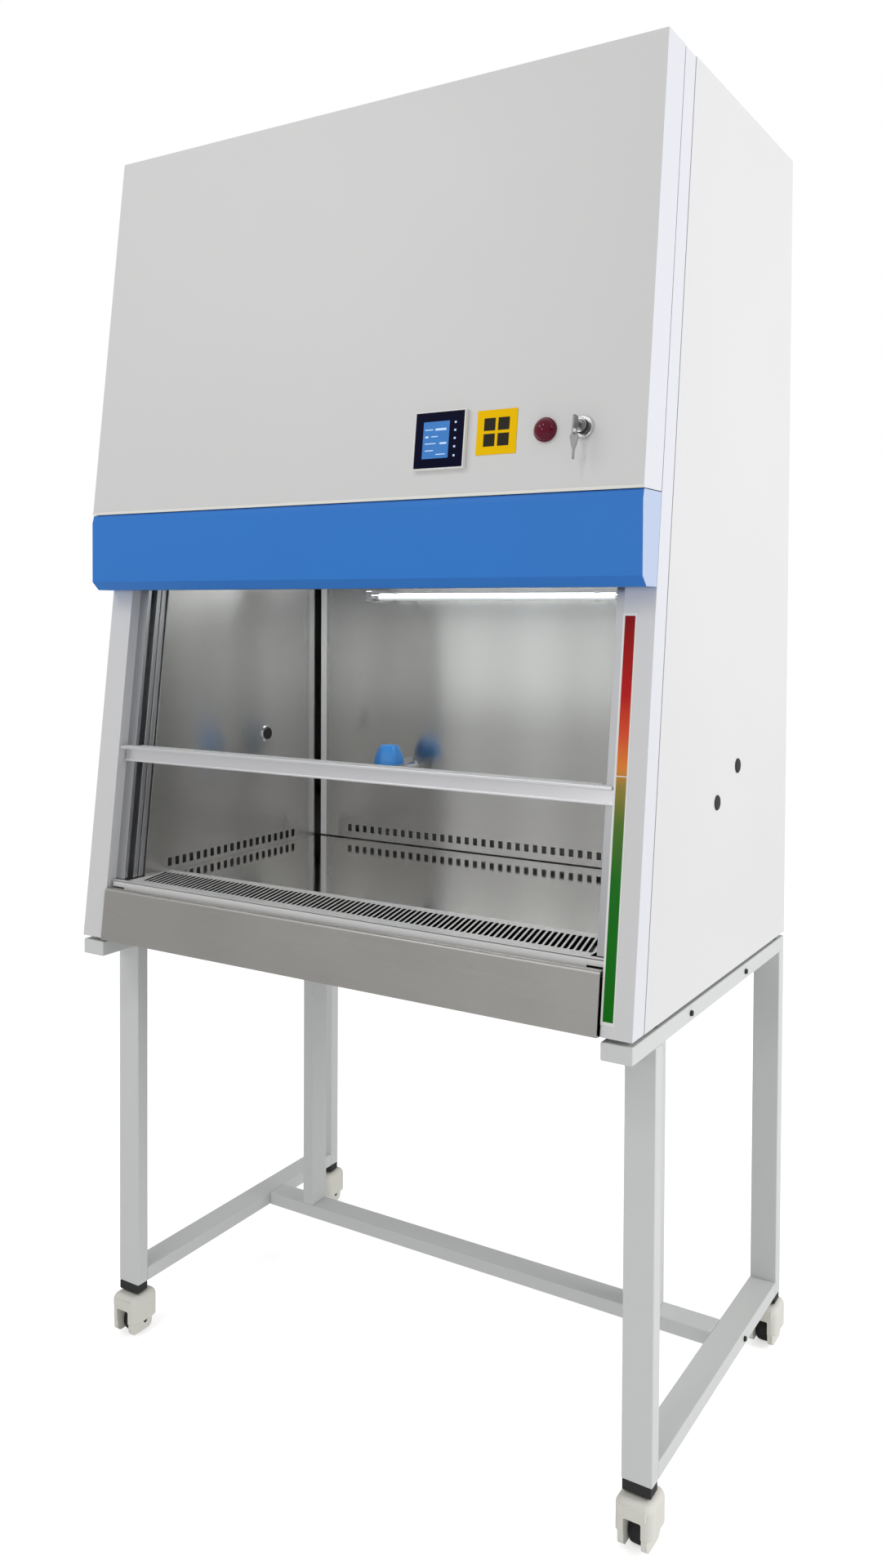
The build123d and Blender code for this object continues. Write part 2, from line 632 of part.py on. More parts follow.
def sash_rail():
    """Handle rail along the lower edge of the glass, with a forward top flange."""
    half = POST_INNER - RAIL_WALL
    inner = half - GUIDE_W
    z0 = RAIL_BOTTOM_Z
    z1 = z0 + SASH_RAIL_H
    flange = 5.0
    rear = RAIL_FACE + RAIL_WALL
    points = [
        (face_y(z0, RAIL_FACE - RAIL_WALL), z0),
        (face_y(z0, rear), z0),
        (face_y(z1, rear), z1),
        (face_y(z1, TOUCH_FREE), z1),
        (face_y(z1 - flange, TOUCH_FREE), z1 - flange),
        (face_y(z1 - flange, RAIL_FACE), z1 - flange),
        (face_y(z0 + RAIL_WALL, RAIL_FACE), z0 + RAIL_WALL),
        (face_y(z0 + RAIL_WALL, RAIL_FACE - RAIL_WALL), z0 + RAIL_WALL),
    ]
    seat = z0 + RAIL_SEAT
    glass_rear = GLASS_BACK + GLASS_T
    rail = prism_x(points, -half, half)
    rail += slab(-inner, inner, z0, seat, RAIL_FACE, glass_rear + RAIL_WALL)
    rail += slab(-inner, inner, seat, z1, rear, GLASS_BACK)
    rail += slab(-inner, inner, seat, seat + 16.0, glass_rear, glass_rear + RAIL_WALL)
    return rail


def sash_top_clamp():
    """Channel over the upper edge of the glass, with a grip beside each belt."""
    top = RAIL_BOTTOM_Z + RAIL_SEAT + GLASS_H
    z0 = top - CLAMP_H
    z1 = top + RAIL_SEAT
    half = POST_INNER - GUIDE_W - RAIL_SEAT
    glass_rear = GLASS_BACK + GLASS_T
    clamp = slab(-half, half, z0, z1, SLOT_FRONT, GLASS_BACK)
    clamp += slab(-half, half, z0, z1, glass_rear, glass_rear + RAIL_SEAT)
    clamp += slab(-half, half, top, z1, GLASS_BACK, glass_rear)
    grip_rear = SHAFT_SETBACK - (PULLEY_D / 2 + TOUCH_FREE + BELT_T) / cos(radians(TILT)) - GRIP_GAP
    for x in (-PULLEY_X, PULLEY_X):
        clamp += slab(x - BELT_W / 2, x + BELT_W / 2, z0, z1, glass_rear + RAIL_SEAT, grip_rear)
    return clamp


def shaft(z):
    """Cross shaft with two flanged belt pulleys."""
    y = face_y(z, SHAFT_SETBACK)
    end = POST_INNER - GUIDE_WEB - TOUCH_FREE
    bar = rod_x(SHAFT_D / 2, -end, end, y, z)
    rim = PULLEY_HALF + SHEET
    for x in (-PULLEY_X, PULLEY_X):
        bar += rod_x(PULLEY_D / 2, x - PULLEY_HALF, x + PULLEY_HALF, y, z)
        bar += rod_x(PULLEY_FLANGE_D / 2, x - rim, x - PULLEY_HALF, y, z)
        bar += rod_x(PULLEY_FLANGE_D / 2, x + PULLEY_HALF, x + rim, y, z)
    return bar


def sash_belts():
    """Two closed balance belts around the pulleys."""
    y0 = face_y(LOWER_SHAFT_Z, SHAFT_SETBACK)
    y1 = face_y(UPPER_SHAFT_Z, SHAFT_SETBACK)
    span = hypot(y1 - y0, UPPER_SHAFT_Z - LOWER_SHAFT_Z)
    inside = PULLEY_D + 2 * TOUCH_FREE
    loop = SlotCenterToCenter(span, inside + 2 * BELT_T) - SlotCenterToCenter(span, inside)
    middle = Pos(0, (y0 + y1) / 2, (UPPER_SHAFT_Z + LOWER_SHAFT_Z) / 2)
    belt = middle * extrude(Plane.YZ * (Rot(0, 0, 90 - TILT) * loop), amount=BELT_W / 2, both=True)
    return group(Pos(x, 0, 0) * belt for x in (-PULLEY_X, PULLEY_X))


# ---------------------------------------------------------------- hood and controls
def hood_panel():
    """Upper front cover: leaning face with side, top and bottom folds."""
    z0 = BAND_TOP_Z + SEAM
    hood = slab(-HALF, HALF, z0, HEIGHT, -HOOD_PROUD, -HOOD_PROUD + SHEET)
    for side in both_sides(slab(HALF - SHEET, HALF, z0, HEIGHT, -HOOD_PROUD, -COVER_GAP)):
        hood += side
    hood += slab(-HALF, HALF, HEIGHT - SHEET, HEIGHT, -HOOD_PROUD, -TOUCH_FREE)
    hood += slab(-HALF, HALF, z0, z0 + SHEET, -HOOD_PROUD, -HOOD_PROUD + HOOD_FOLD)
    return hood


def band_outline(inset):
    """Section of the lower trim box, in (y, z), drawn inset by a wall."""
    front = FRONT_Y + BAND_FRONT + inset
    z0 = BAND_BOTTOM_Z + inset
    z1 = BAND_TOP_Z - inset
    back = 5.0 if inset else -SEAM
    chamfer_in = BAND_CHAMFER - inset * 0.4
    bevel_in, bevel_h = BAND_TOP_BEVEL
    return [
        (front + bevel_in, z1),
        (front, z1 - bevel_h),
        (front, z0 + chamfer_in),
        (front + chamfer_in, z0),
        (face_y(z0, back), z0),
        (face_y(z1, back), z1),
    ]


def trim_band():
    """Blue trim box below the hood, closed at the ends and open at the back."""
    band = prism_x(band_outline(0), -HALF, HALF)
    return band - prism_x(band_outline(SHEET), -HALF + SHEET, HALF - SHEET)


def controller():
    """Display module: raised frame with a recessed dark face and a pocket for the screen."""
    frame = hood_plane(*MODULE_AT) * extrude(RectangleRounded(MODULE_W, MODULE_W, 3), amount=MODULE_T)
    face = MODULE_W - 2 * MODULE_FRAME
    sunk = Pos(0, 0, MODULE_T - SCREEN_SUNK) * extrude(Rectangle(face, face), amount=MODULE_T)
    opening = Rectangle(SCREEN_W + 2 * SCREEN_GAP, SCREEN_H + 2 * SCREEN_GAP)
    pocket = hood_plane(*SCREEN_AT) * (Pos(0, 0, SCREEN_SEAT) * extrude(opening, amount=MODULE_T))
    return frame - hood_plane(*MODULE_AT) * sunk - pocket


def screen():
    """Display glass in the module."""
    glass = Pos(0, 0, SCREEN_SEAT) * extrude(Rectangle(SCREEN_W, SCREEN_H), amount=SCREEN_T)
    return hood_plane(*SCREEN_AT) * glass


def yellow_plate():
    """Square bare marking plate."""
    return hood_plane(*PLATE_AT) * extrude(Rectangle(PLATE_W, PLATE_W), amount=PLATE_T)


def alarm_lamp():
    """Red domed lamp on a collar."""
    collar = stand_up(ALARM_D / 2, 4.0)
    reach = ALARM_D / 2
    cap = Pos(0, 0, 0.7) * Sphere(DOME_R) & block(-reach, reach, -reach, reach, 3.0, 2 * reach)
    return hood_plane(*ALARM_AT) * (collar + cap)


def key_switch():
    """Lock barrel with a bored face on a round collar."""
    ring = stand_up(LOCK_D / 2, 5.0)
    ring = chamfer(ring.edges().group_by(Axis.Z)[-1], 1.5)
    barrel = stand_up(BARREL_D / 2, BARREL_H)
    bore = Pos(0, 0, ROTOR_SEAT) * stand_up(ROTOR_D / 2 + BORE_GAP, BARREL_H)
    return hood_plane(*LOCK_AT) * (ring + barrel - bore)


def key():
    """Lock rotor with the key in it and a spare that hangs on a ring."""
    rotor = Pos(0, 0, ROTOR_SEAT + TOUCH_FREE) * stand_up(ROTOR_D / 2, BARREL_H - ROTOR_SEAT - TOUCH_FREE)
    shank = Pos(0, 0, BARREL_H - 2) * Box(KEY_T, 7, 12, align=(Align.CENTER, Align.CENTER, Align.MIN))
    bow = Pos(0, 1, BARREL_H + 14) * on_end(extrude(RectangleRounded(20, 15, 5), amount=KEY_T / 2, both=True))
    hole = Pos(0, -3.5, KEY_STANDOFF) * on_end(Cylinder(2.6, 4 * KEY_T))
    ring = Pos(0, -10.5, KEY_STANDOFF) * on_end(Torus(7.0, 0.9))
    leaf_side = [(3.5, -14), (7, -21), (4, -33), (1.6, -40), (1.6, -54)]
    spare = Polyline(*leaf_side, *[(-x, y) for x, y in reversed(leaf_side)], close=True)
    leaf = Pos(0, 0, KEY_STANDOFF - KEY_T / 2) * extrude(make_face(spare), amount=KEY_T)
    turned = rotor + shank + (bow - hole) + ring + leaf
    return hood_plane(*LOCK_AT) * turned


# ---------------------------------------------------------------- inside
def tap_body():
    """Wall tap: round flange, arm, bonnet, spindle and a short nozzle."""
    to_front = Pos(TAP_X, BAFFLE_Y, TAP_Z) * Rot(90, 0, 0)
    arm = to_front * stand_up(9.0, BAFFLE_Y - TAP_Y)
    flange = to_front * stand_up(20.0, 5.0)
    here = Pos(TAP_X, TAP_Y, TAP_Z)
    bonnet = here * (Pos(0, 0, -14) * stand_up(12.0, TAP_HANDLE_LIFT + 13))
    nozzle = here * (Pos(0, 0, -22) * Cone(4, 7, 10, align=(Align.CENTER, Align.CENTER, Align.MIN)))
    spindle = here * stand_up(TAP_SPINDLE_D / 2, TAP_HANDLE_LIFT + 15)
    return arm + flange + bonnet + nozzle + spindle


def tap_handle():
    """Scalloped bell handle on the spindle."""
    outline = (
        Polyline((0, 0), (33, 0), (35, 3))
        + Spline((35, 3), (27, 14), (20, 26), (16, 31))
        + Polyline((16, 31), (13, 33), (0, 33), (0, 0))
    )
    bell = revolve(make_face(Plane.XZ * outline), axis=Axis.Z)
    bell -= Cylinder(TAP_SPINDLE_D / 2 + BORE_GAP, 32.0)
    scallops = [Rot(0, 0, 60 * n) * (Pos(39, 0, 0) * Cylinder(8, 80)) for n in range(6)]
    return Pos(TAP_X, TAP_Y, TAP_Z + TAP_HANDLE_LIFT) * (bell - scallops)


def lamp_tube():
    """Fluorescent tube with its end caps."""
    bulb = rod_x(LAMP_D / 2, -LAMP_HALF, LAMP_HALF, LAMP_Y, LAMP_Z)
    for x0 in (-LAMP_HALF, LAMP_HALF - LAMP_CAP):
        bulb += rod_x(LAMP_D / 2 + 0.5, x0, x0 + LAMP_CAP, LAMP_Y, LAMP_Z)
    return bulb


def lamp_holders():
    """Two tube holders and two spring clips on the rear chamber wall."""
    holder = block(LAMP_HALF, LAMP_HALF + LAMP_CAP, LAMP_Y - 13, BAFFLE_Y, LAMP_Z - 12, LAMP_Z + 14)
    holder = fillet(holder.edges().filter_by(Axis.X), 4.0)
    inside = LAMP_D / 2 + LAMP_CLIP_GAP
    clip = rod_x(inside + 1.2, -4, 4, LAMP_Y, LAMP_Z)
    clip += block(-4, 4, LAMP_Y + inside, BAFFLE_Y, LAMP_Z - 5, LAMP_Z + 5)
    clip -= rod_x(inside, -5, 5, LAMP_Y, LAMP_Z)
    clip -= block(-5, 5, LAMP_Y - 2 * inside, LAMP_Y - inside * 0.6, LAMP_Z - inside, LAMP_Z + inside)
    return group(both_sides(holder) + both_sides(Pos(LAMP_CLIP_X, 0, 0) * clip))


def blower_housing():
    """Twin-inlet scroll casing on its outlet duct, with the fan motor on arms in one inlet."""
    wall = SCROLL_WALL
    z0 = CHAMBER_TOP + FILTER_T
    inside = SCROLL_HALF - wall
    duct_front = FAN_Y - SCROLL_R
    outlet = block(-inside, inside, duct_front + wall, FAN_Y - wall, z0 - 1, FAN_Z)
    outer = rod_x(SCROLL_R, -SCROLL_HALF, SCROLL_HALF, FAN_Y, FAN_Z)
    outer += block(-SCROLL_HALF, SCROLL_HALF, duct_front, FAN_Y, z0, FAN_Z)
    inner = rod_x(SCROLL_R - wall, -inside, inside, FAN_Y, FAN_Z) + outlet
    eye = rod_x(IMPELLER_R - 20, -SCROLL_HALF - 5, SCROLL_HALF + 5, FAN_Y, FAN_Z)
    motor = rod_x(MOTOR_D / 2, -SCROLL_HALF - 30, -SCROLL_HALF + 20, FAN_Y, FAN_Z)
    motor += rod_x(FAN_SHAFT_D / 2, -SCROLL_HALF + 20, SCROLL_HALF - 60, FAN_Y, FAN_Z)
    arm_reach = SCROLL_R - 40
    arms = block(-SCROLL_HALF - 8, -SCROLL_HALF, FAN_Y - 8, FAN_Y + 8, FAN_Z - arm_reach, FAN_Z + arm_reach)
    foot = block(-2 * SCROLL_HALF, 2 * SCROLL_HALF, duct_front - 20, FAN_Y + 20, z0, z0 + wall)
    return outer - inner - eye + motor + arms + (foot - outlet)


def impeller():
    """Squirrel-cage wheel: middle disc, two end rings and forward blades."""
    end = IMPELLER_HALF
    wheel = rod_x(IMPELLER_R, -3, 3, FAN_Y, FAN_Z) + rod_x(20, -30, 30, FAN_Y, FAN_Z)
    ring = rod_x(IMPELLER_R, -end, -end + FAN_RING_T, FAN_Y, FAN_Z)
    ring -= rod_x(IMPELLER_R - BLADE_H - 2, -end - 1, -end + FAN_RING_T + 1, FAN_Y, FAN_Z)
    wheel = wheel + ring + Pos(2 * end - FAN_RING_T, 0, 0) * ring
    blade = block(-end + 1, end - 1, -1, 1, IMPELLER_R - BLADE_H - 1, IMPELLER_R - 1)
    hub = Pos(0, FAN_Y, FAN_Z)
    wheel = wheel + [hub * (Rot(360 * n / BLADES, 0, 0) * blade) for n in range(BLADES)]
    return wheel - rod_x(FAN_SHAFT_D / 2 + BORE_GAP, -end, end, FAN_Y, FAN_Z)


def hepa_filters():
    """Supply filter over the chamber and exhaust filter under the roof, both framed packs."""
    half = CHAMBER_HALF + SHEET
    y1 = BAFFLE_Y + BAFFLE_BEVEL + SHEET
    y0 = y1 - FILTER_DEPTH
    rim = FILTER_RIM
    face = 3.0
    pack = block(-half, half, y0, y1, CHAMBER_TOP, CHAMBER_TOP + FILTER_T)
    recess = block(-half + rim, half - rim, y0 + rim, y1 - rim, CHAMBER_TOP - 1, CHAMBER_TOP + face)
    pack = pack - recess - Pos(0, 0, FILTER_T - face + 1) * recess
    return group([pack, Pos(0, 0, HEIGHT - SHEET - CHAMBER_TOP - FILTER_T) * pack])


def build():
    """All nodes by name."""
    nodes = {
        "upper_cross_bar": cross_bar(RAIL_TOP - TUBE_D),
        "lower_cross_bar": cross_bar(LEG_BOTTOM),
        "middle_posts": middle_posts(),
        "stand_bolts": stand_bolts(),
        "base_pan": base_pan(),
        "side_panel_right": side_panel(SIDE_HOLES),
        "side_panel_left": mirror(side_panel(), about=Plane.YZ),
        "rear_panel": rear_panel(),
        "top_panel": top_panel(),
        "front_post_right": front_post(),
        "front_post_left": mirror(front_post(), about=Plane.YZ),
        "inner_wall_right": inner_wall(),
        "inner_wall_left": left_inner_wall(),
        "back_baffle": back_baffle(),
        "work_floor": work_floor(),
        "intake_grille": intake_grille(),
        "drain_panel": drain_panel(),
        "scale_strip": scale_strip(),
        "wall_plugs": wall_plugs(),
        "mains_inlet": mains_inlet(),
        "sash_glass": sash_glass(),
        "sash_rail": sash_rail(),
        "sash_top_clamp": sash_top_clamp(),
        "sash_guide_right": sash_guide(),
        "sash_guide_left": mirror(sash_guide(), about=Plane.YZ),
        "sash_belts": sash_belts(),
        "upper_shaft": shaft(UPPER_SHAFT_Z),
        "lower_shaft": shaft(LOWER_SHAFT_Z),
        "hood_panel": hood_panel(),
        "trim_band": trim_band(),
        "controller": controller(),
        "screen": screen(),
        "yellow_plate": yellow_plate(),
        "alarm_lamp": alarm_lamp(),
        "key_switch": key_switch(),
        "key": key(),
        "tap_body": tap_body(),
        "tap_handle": tap_handle(),
        "lamp_tube": lamp_tube(),
        "lamp_holders": lamp_holders(),
        "blower_housing": blower_housing(),
        "impeller": impeller(),
        "hepa_filters": hepa_filters(),
    }
    plates = []
    for across, x in (("left", -LEG_X), ("right", LEG_X)):
        side = 1 if x > 0 else -1
        nodes[f"upper_rail_{across}"] = upper_rail(side)
        nodes[f"lower_rail_{across}"] = lower_rail(side)
        for along, y in (("front", FRONT_LEG_Y), ("rear", REAR_LEG_Y)):
            here = Pos(x, y, 0)
            nodes[f"leg_{along}_{across}"] = leg(x, y)
            nodes[f"caster_body_{along}_{across}"] = here * caster_body()
            nodes[f"caster_wheel_{along}_{across}"] = Pos(x, y + WHEEL_TRAIL, WHEEL_D / 2) * caster_wheel()
            plates.append(here * caster_plate())
    nodes["caster_plates"] = group(plates)
    return nodes


os.makedirs("parts", exist_ok=True)
for name, shape in build().items():
    export_step(shape, f"parts/{name}.step")
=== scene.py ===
"""Biosafety cabinet on a wheeled tube stand: finishes, refined pieces and studio."""
import json
import logging
import math
from dataclasses import dataclass, field
from enum import Enum
from typing import Callable, Dict, Iterable, Optional, Sequence, Tuple, Union

import bmesh
import bpy
from mathutils import Matrix, Vector


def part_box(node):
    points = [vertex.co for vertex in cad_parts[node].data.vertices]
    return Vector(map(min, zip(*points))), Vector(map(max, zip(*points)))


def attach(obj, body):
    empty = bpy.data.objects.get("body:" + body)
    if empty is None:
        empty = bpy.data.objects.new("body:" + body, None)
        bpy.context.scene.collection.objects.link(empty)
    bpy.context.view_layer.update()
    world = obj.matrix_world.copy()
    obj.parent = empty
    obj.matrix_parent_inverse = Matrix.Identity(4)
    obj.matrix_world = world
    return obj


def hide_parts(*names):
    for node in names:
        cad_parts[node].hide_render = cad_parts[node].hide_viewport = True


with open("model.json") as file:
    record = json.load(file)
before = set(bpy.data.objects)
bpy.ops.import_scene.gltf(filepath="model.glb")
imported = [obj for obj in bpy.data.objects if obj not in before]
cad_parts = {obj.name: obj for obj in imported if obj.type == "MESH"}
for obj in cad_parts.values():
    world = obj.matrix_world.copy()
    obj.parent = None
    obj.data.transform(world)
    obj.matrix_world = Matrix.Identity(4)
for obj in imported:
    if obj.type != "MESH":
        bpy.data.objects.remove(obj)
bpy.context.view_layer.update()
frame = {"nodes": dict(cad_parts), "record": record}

LOG = logging.getLogger("cabinet")
Colour = Tuple[float, float, float]
Point = Tuple[float, float, float]
Mesh = bmesh.types.BMesh
Node = bpy.types.Node
Socket = bpy.types.NodeSocket
Value = Union[float, Sequence[float], Socket]
Sockets = Dict[str, Socket]
Chooser = Callable[[Vector, Vector], bool]
FLOAT = "NodeSocketFloat"


class Grain(Enum):
    """Direction of the brushing on rolled sheet."""

    ACROSS = (2.0, 60.0, 60.0)
    UPRIGHT = (60.0, 60.0, 2.0)
    DEPTH = (60.0, 2.0, 60.0)


# ---- node graphs
class Graph:
    """Adds and joins nodes in one tree."""

    def __init__(self, tree: bpy.types.NodeTree) -> None:
        """Keeps the tree.

        Args:
            tree: node tree to build in.
        """
        self.tree = tree

    def add(
        self, kind: str, feeds: Optional[Dict[Union[str, int], Value]] = None, **settings: object
    ) -> Node:
        """Adds a node.

        Args:
            kind: node type name.
            feeds: socket name or number to a constant or another socket.
            settings: attributes set on the node first.

        Returns:
            The new node.
        """
        node = self.tree.nodes.new(kind)
        for name, value in settings.items():
            setattr(node, name, value)
        for socket, value in (feeds or {}).items():
            self.feed(node, socket, value)
        return node

    def feed(self, node: Node, socket: Union[str, int], value: Value) -> None:
        """Sets or links one input.

        Args:
            node: node that owns the input.
            socket: name or number of the input.
            value: constant or output socket.
        """
        target = node.inputs[socket]
        if isinstance(value, Socket):
            self.tree.links.new(value, target)
        else:
            target.default_value = value

    def math(self, operation: str, first: Value, second: Value = 0.0) -> Socket:
        """Adds a Math node.

        Args:
            operation: Blender's operation name.
            first: first operand.
            second: second operand.

        Returns:
            The result socket.
        """
        return self.add("ShaderNodeMath", {0: first, 1: second}, operation=operation).outputs[0]

    def ramp(self, factor: Value, stops: Sequence[Tuple[float, Colour]]) -> Socket:
        """Adds a colour ramp.

        Args:
            factor: position along the ramp.
            stops: positions with their colours.

        Returns:
            The colour socket.
        """
        node = self.add("ShaderNodeValToRGB", {"Fac": factor})
        band = node.color_ramp
        while len(band.elements) < len(stops):
            band.elements.new(0.5)
        for element, (place, colour) in zip(band.elements, stops):
            element.position = place
            element.color = (*colour, 1.0)
        return node.outputs["Color"]

    def tint(self, colour: Colour, tone: Socket) -> Socket:
        """Multiplies a colour by a varying tone.

        Args:
            colour: base colour.
            tone: grey value near 1.

        Returns:
            The tinted colour.
        """
        mix = self.add("ShaderNodeMix", {"Factor": 1.0}, data_type="RGBA", blend_type="MULTIPLY")
        mix.inputs[6].default_value = (*colour, 1.0)
        self.tree.links.new(tone, mix.inputs[7])
        return mix.outputs[2]


def shared_group(
    name: str,
    inputs: Sequence[Tuple[str, str, float]],
    outputs: Sequence[str],
    fill: Callable[[Graph, Sockets], Sockets],
) -> bpy.types.NodeTree:
    """Makes a reusable shader group.

    Args:
        name: group name.
        inputs: name, socket type and default of each input.
        outputs: names of the float outputs.
        fill: builds the inside and returns its result sockets.

    Returns:
        The group tree.
    """
    tree = bpy.data.node_groups.new(name, "ShaderNodeTree")
    for label, kind, default in inputs:
        socket = tree.interface.new_socket(name=label, in_out="INPUT", socket_type=kind)
        if kind == FLOAT:
            socket.default_value = default
    for label in outputs:
        tree.interface.new_socket(name=label, in_out="OUTPUT", socket_type=FLOAT)
    graph = Graph(tree)
    entry = graph.add("NodeGroupInput")
    exit_node = graph.add("NodeGroupOutput")
    results = fill(graph, {s.name: s for s in entry.outputs if s.name})
    for label, socket in results.items():
        graph.feed(exit_node, label, socket)
    return tree


def fill_peel(graph: Graph, given: Sockets) -> Sockets:
    """Orange peel of powder coat with a slow drift of tone.

    Args:
        graph: builder over the group.
        given: the group's input sockets.

    Returns:
        The sockets that feed its outputs.
    """
    where = given["Vector"]
    peel = graph.add("ShaderNodeTexNoise", {"Vector": where, "Scale": given["Scale"], "Detail": 2.0})
    drift = graph.add("ShaderNodeTexNoise", {"Vector": where, "Scale": 2.3, "Detail": 3.0})
    spread = graph.math("MULTIPLY", graph.math("SUBTRACT", drift.outputs[0], 0.5), given["Drift"])
    return {"Height": peel.outputs[0], "Tone": graph.math("ADD", spread, 1.0)}


def fill_brush(graph: Graph, given: Sockets) -> Sockets:
    """Long fine scratches of brushed sheet.

    Args:
        graph: builder over the group.
        given: the group's input sockets.

    Returns:
        The sockets that feed its outputs.
    """
    where = given["Vector"]
    fine = graph.add("ShaderNodeTexNoise", {"Vector": where, "Scale": 28.0, "Detail": 4.0, "Roughness": 0.7})
    broad = graph.add("ShaderNodeTexNoise", {"Vector": where, "Scale": 3.0, "Detail": 2.0})
    tone = graph.math("MULTIPLY", graph.math("SUBTRACT", fine.outputs[0], 0.5), given["Drift"])
    return {"Height": fine.outputs[0], "Tone": graph.math("ADD", tone, 1.0), "Streak": broad.outputs[0]}


def fill_smudge(graph: Graph, given: Sockets) -> Sockets:
    """Soft patches where a surface has been wiped or handled.

    Args:
        graph: builder over the group.
        given: the group's input sockets.

    Returns:
        The sockets that feed its outputs.
    """
    patch = graph.add(
        "ShaderNodeTexNoise",
        {"Vector": given["Vector"], "Scale": given["Scale"], "Detail": 5.0, "Distortion": 0.4},
    )
    span = {"From Min": 0.35, "From Max": 0.7, "To Min": 0.0, "To Max": given["Amount"]}
    soft = graph.add("ShaderNodeMapRange", {"Value": patch.outputs[0], **span})
    return {"Mask": soft.outputs[0]}


VECTOR = ("Vector", "NodeSocketVector", 0.0)
PEEL = shared_group(
    "powder_peel", [VECTOR, ("Scale", FLOAT, 900.0), ("Drift", FLOAT, 0.03)], ["Height", "Tone"], fill_peel
)
BRUSH = shared_group(
    "brushed_sheet", [VECTOR, ("Drift", FLOAT, 0.2)], ["Height", "Tone", "Streak"], fill_brush
)
SMUDGE = shared_group(
    "wiped_patches", [VECTOR, ("Scale", FLOAT, 6.0), ("Amount", FLOAT, 0.1)], ["Mask"], fill_smudge
)


@dataclass(frozen=True)
class Finish:
    """A surface finish that builds its own material once."""

    name: str
    colour: Colour
    roughness: float = 0.5

    def material(self) -> bpy.types.Material:
        """Returns the finish's material, made at first use."""
        found = bpy.data.materials.get(self.name)
        if found is not None:
            return found
        made = bpy.data.materials.new(self.name)
        made.use_nodes = True
        made.node_tree.nodes.clear()
        graph = Graph(made.node_tree)
        plain = (*self.colour, 1.0)
        shader = graph.add("ShaderNodeBsdfPrincipled", {"Base Color": plain, "Roughness": self.roughness})
        output = graph.add("ShaderNodeOutputMaterial")
        graph.feed(output, "Surface", shader.outputs[0])
        where = graph.add("ShaderNodeTexCoord").outputs["Object"]
        self.dress(graph, shader, where)
        made.diffuse_color = plain
        return made

    def dress(self, graph: Graph, shader: Node, where: Socket) -> None:
        """Adds the finish's own nodes.

        Args:
            graph: builder over the material.
            shader: its Principled BSDF.
            where: object coordinates.
        """

    def group(self, graph: Graph, tree: bpy.types.NodeTree, feeds: Dict[str, Value]) -> Node:
        """Places a shared group with its own values.

        Args:
            graph: builder over the material.
            tree: the shared group.
            feeds: input name to a constant or another socket.

        Returns:
            The group node.
        """
        node = graph.add("ShaderNodeGroup", node_tree=tree)
        for label, value in feeds.items():
            graph.feed(node, label, value)
        return node

    def peel(self, graph: Graph, shader: Node, where: Socket, scale: float, drift: float) -> Socket:
        """Tints the base colour with the peel's slow drift.

        Args:
            graph: builder over the material.
            shader: its Principled BSDF.
            where: object coordinates.
            scale: fineness of the peel.
            drift: swing of the tone.

        Returns:
            The peel's height.
        """
        node = self.group(graph, PEEL, {"Vector": where, "Scale": scale, "Drift": drift})
        graph.feed(shader, "Base Color", graph.tint(self.colour, node.outputs["Tone"]))
        return node.outputs["Height"]

    def bump(self, graph: Graph, shader: Node, height: Socket, depth: float) -> None:
        """Feeds a height to the shader's normal at a depth in metres."""
        node = graph.add("ShaderNodeBump", {"Height": height, "Distance": depth, "Strength": 1.0})
        graph.feed(shader, "Normal", node.outputs[0])


@dataclass(frozen=True)
class PowderCoat(Finish):
    """Satin powder coat with fine orange peel."""

    drift: float = 0.03
    coat: float = 0.1
    shine: float = 0.4

    def dress(self, graph: Graph, shader: Node, where: Socket) -> None:
        """Adds peel, tone drift and a thin gloss.

        Args:
            graph: builder over the material.
            shader: its Principled BSDF.
            where: object coordinates.
        """
        height = self.peel(graph, shader, where, 700.0, self.drift)
        smudge = self.group(graph, SMUDGE, {"Vector": where, "Scale": 5.0, "Amount": 0.08})
        graph.feed(shader, "Roughness", graph.math("ADD", smudge.outputs[0], self.roughness - 0.04))
        shader.inputs["Coat Weight"].default_value = self.coat
        shader.inputs["Coat Roughness"].default_value = 0.25
        shader.inputs["Specular IOR Level"].default_value = self.shine
        self.bump(graph, shader, height, 0.00001)


